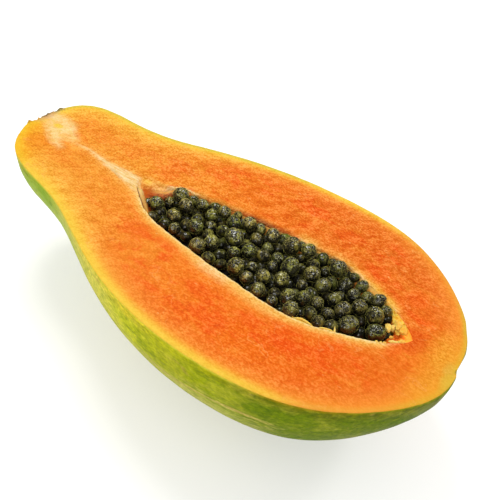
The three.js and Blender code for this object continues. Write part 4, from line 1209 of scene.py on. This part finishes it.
# the seeds of the layer below, in one piece with the jelly that holds them; the jelly's near-black is painted shade
# between the seeds, and these seeds take the shaded seed material
ball, quads, ball_uv = cube_sphere(9)
bv, bf, buv, bridge, btint, bup = [], [], [], [], [], []
count = 0
cells = 10
for i, (x, y, zc, r) in enumerate(BED_SEEDS):
    p, ridge, up = seed_shape(ball, i + 101, r, 1.08, 300)
    bv.append(p + [x, y, zc])
    bf += [tuple(int(v) + count for v in f) for f in quads]
    cx, cy = i % cells, i // cells
    buv.append((ball_uv * 0.96 + 0.02 + [cx, cy]) / cells)
    bridge.append(ridge)
    bup.append(up)
    btint.append(np.full(len(p), rng.uniform(0, 1)))
    count += len(p)
bed_mat = [0] * len(bf)
# jelly, near-black as painted shade between the seeds
nx, ny = 120, 40
top_id = np.zeros((nx + 1, ny + 1), int)
low_id = np.zeros((nx + 1, ny + 1), int)
jx = np.linspace(-33.5, 87.0, nx + 1)
jr = np.interp(jx, hx, hr)
JTOP = 56.6
grid_top, grid_low = [], []
for i in range(nx + 1):
    w = math.sqrt(max((jr[i] - 0.5) ** 2 - (CUT - JTOP) ** 2, 0.04))
    t = np.cos(math.pi * (1 - np.arange(ny + 1) / ny))
    yy = w * t
    grid_top.append(np.stack([np.full(ny + 1, jx[i]), yy, np.full(ny + 1, JTOP)], 1))
    grid_low.append(np.stack([np.full(ny + 1, jx[i]), yy, CUT - np.sqrt(np.maximum((jr[i] - 0.5) ** 2 - yy ** 2, 0))], 1))
grid_top, grid_low = np.array(grid_top), np.array(grid_low)
flat_top = grid_top.reshape(-1, 3)
edge = np.minimum(1 - np.abs(np.linspace(-1, 1, ny + 1))[None] ** 6, smooth(np.minimum(np.arange(nx + 1), nx - np.arange(nx + 1)), 0, 4)[:, None])
grid_top[..., 2] += ((0.9 * fbm(flat_top, 0.22, 3, 81)).reshape(nx + 1, ny + 1)) * edge
rim_mask = np.zeros((nx + 1, ny + 1), bool)
rim_mask[:, 0] = rim_mask[:, -1] = True
rim_mask[0, :] = rim_mask[-1, :] = True
grid_low[0, :, 2] = np.minimum(grid_low[0, :, 2], JTOP)
grid_low[rim_mask] = grid_top[rim_mask]
tid = count + np.arange((nx + 1) * (ny + 1)).reshape(nx + 1, ny + 1)
bv.append(grid_top.reshape(-1, 3))
count += (nx + 1) * (ny + 1)
lid = tid.copy()
lid[~rim_mask] = count + np.arange((~rim_mask).sum())
bv.append(grid_low[~rim_mask])
count += (~rim_mask).sum()
nj = (nx + 1) * (ny + 1) + (~rim_mask).sum()
bridge.append(np.zeros(nj))
btint.append(np.zeros(nj))
bup.append(np.zeros(nj))
uvx = 0.405 + 0.575 * (jx - jx[0]) / (jx[-1] - jx[0])
uvy = np.linspace(0, 1, ny + 1)
jelly_uv = []
for i in range(nx):
    for j in range(ny):
        bf.append((int(tid[i, j]), int(tid[i + 1, j]), int(tid[i + 1, j + 1]), int(tid[i, j + 1])))
        for aa, bb in ((i, j), (i + 1, j), (i + 1, j + 1), (i, j + 1)):
            jelly_uv.append((uvx[aa], 0.903 + 0.045 * uvy[bb]))
        bf.append((int(lid[i, j + 1]), int(lid[i + 1, j + 1]), int(lid[i + 1, j]), int(lid[i, j])))
        for aa, bb in ((i, j + 1), (i + 1, j + 1), (i + 1, j), (i, j)):
            jelly_uv.append((uvx[aa], 0.952 + 0.045 * uvy[bb]))
buv.append(np.array(jelly_uv))
bed_mat += [1] * (2 * nx * ny)
bed = to_mesh("lower_seeds_and_shade_jelly", np.concatenate(bv), bf, [SEED_LOW_SHADED, JELLY_AND_SHADE], bed_mat, np.concatenate(buv),
              {"ridge": np.concatenate(bridge), "tint": np.concatenate(btint), "up": np.concatenate(bup)})
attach(bed, "root")
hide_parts("seed_bed")


# ---------------------------------------------------------------- floor, light, camera
def stage_material():
    m = Nodes("plain_floor")
    n = m.noise(m.p, 0.01, 2, 0.5)
    m.set(Base_Color=m.mix(n, lin(206, 206, 205), lin(209, 209, 208)), Roughness=0.9)
    m.bsdf.inputs["Emission Color"].default_value = (1, 1, 1, 1)
    m.bsdf.inputs["Emission Strength"].default_value = 0.34
    m.bsdf.inputs["Specular IOR Level"].default_value = 0.1
    return m.mat


floor = bpy.data.meshes.new("floor")
floor.from_pydata([(-6, -6, -0.0002), (6, -6, -0.0002), (6, 6, -0.0002), (-6, 6, -0.0002)], [], [(0, 1, 2, 3)])
floor.materials.append(stage_material())
floor_object = bpy.data.objects.new("floor", floor)
bpy.context.scene.collection.objects.link(floor_object)

world = bpy.data.worlds.new("studio")
bpy.context.scene.world = world
world.use_nodes = True
wt = world.node_tree
wt.nodes.clear()
wo = wt.nodes.new("ShaderNodeOutputWorld")
ray = wt.nodes.new("ShaderNodeLightPath")


def sky(strength, colour=(1, 1, 1, 1)):
    n = wt.nodes.new("ShaderNodeBackground")
    n.inputs["Color"].default_value = colour
    n.inputs["Strength"].default_value = strength
    return n.outputs[0]


def choose(fac, a, b):
    n = wt.nodes.new("ShaderNodeMixShader")
    for socket, v in zip(n.inputs, (fac, a, b)):
        wt.links.new(v, socket)
    return n.outputs[0]


# a pale room: white behind the floor, and dimmer in reflections, where the softboxes do the work
room = choose(ray.outputs["Is Glossy Ray"], sky(0.92, (1, 0.995, 0.985, 1)), sky(0.20, (1, 0.92, 0.56, 1)))
room = choose(ray.outputs["Is Camera Ray"], room, sky(0.97))
wt.links.new(room, wo.inputs["Surface"])


def softbox(name, place, aim, width, height, watts, colour=(1, 1, 1)):
    data = bpy.data.lights.new(name, "AREA")
    data.shape = "RECTANGLE"
    data.size, data.size_y = width, height
    data.energy = watts
    data.color = colour
    o = bpy.data.objects.new(name, data)
    o.location = place
    o.rotation_mode = "QUATERNION"
    o.rotation_quaternion = (Vector(aim) - Vector(place)).to_track_quat("-Z", "Y")
    bpy.context.scene.collection.objects.link(o)
    return o


softbox("key", (-0.50, 0.30, 1.10), (0, 0, 0.04), 0.36, 0.36, 6.0)
softbox("back", (0.55, 0.65, 0.95), (0, 0, 0.04), 0.26, 0.26, 2.8)
softbox("front", (0.10, -1.05, 0.80), (0, 0, 0.03), 0.50, 0.36, 4.4)

E, A, RHO_CAM, DIST = math.radians(41.0005), math.radians(23.658), math.radians(-13.280), 0.299198
target = Vector((0.01627, -0.00051, 0.064))
back = Vector((math.sin(A) * math.cos(E), -math.cos(A) * math.cos(E), math.sin(E)))
right = Vector((math.cos(A), math.sin(A), 0))
up = (-back).cross(right) * -1
if up.z < 0:
    up = -up
c, s = math.cos(RHO_CAM), math.sin(RHO_CAM)
cx, cy = c * right - s * up, s * right + c * up
cam_data = bpy.data.cameras.new("camera")
cam_data.sensor_width = 36.0
cam_data.lens = 50.02
cam_data.clip_start = 0.01
cam = bpy.data.objects.new("camera", cam_data)
loc = target + DIST * back
cam.matrix_world = Matrix(((cx.x, cy.x, back.x, loc.x), (cx.y, cy.y, back.y, loc.y), (cx.z, cy.z, back.z, loc.z), (0, 0, 0, 1)))
bpy.context.scene.collection.objects.link(cam)
bpy.context.scene.camera = cam
bpy.context.scene.view_settings.view_transform = "Standard"
bpy.context.scene.view_settings.look = "None"
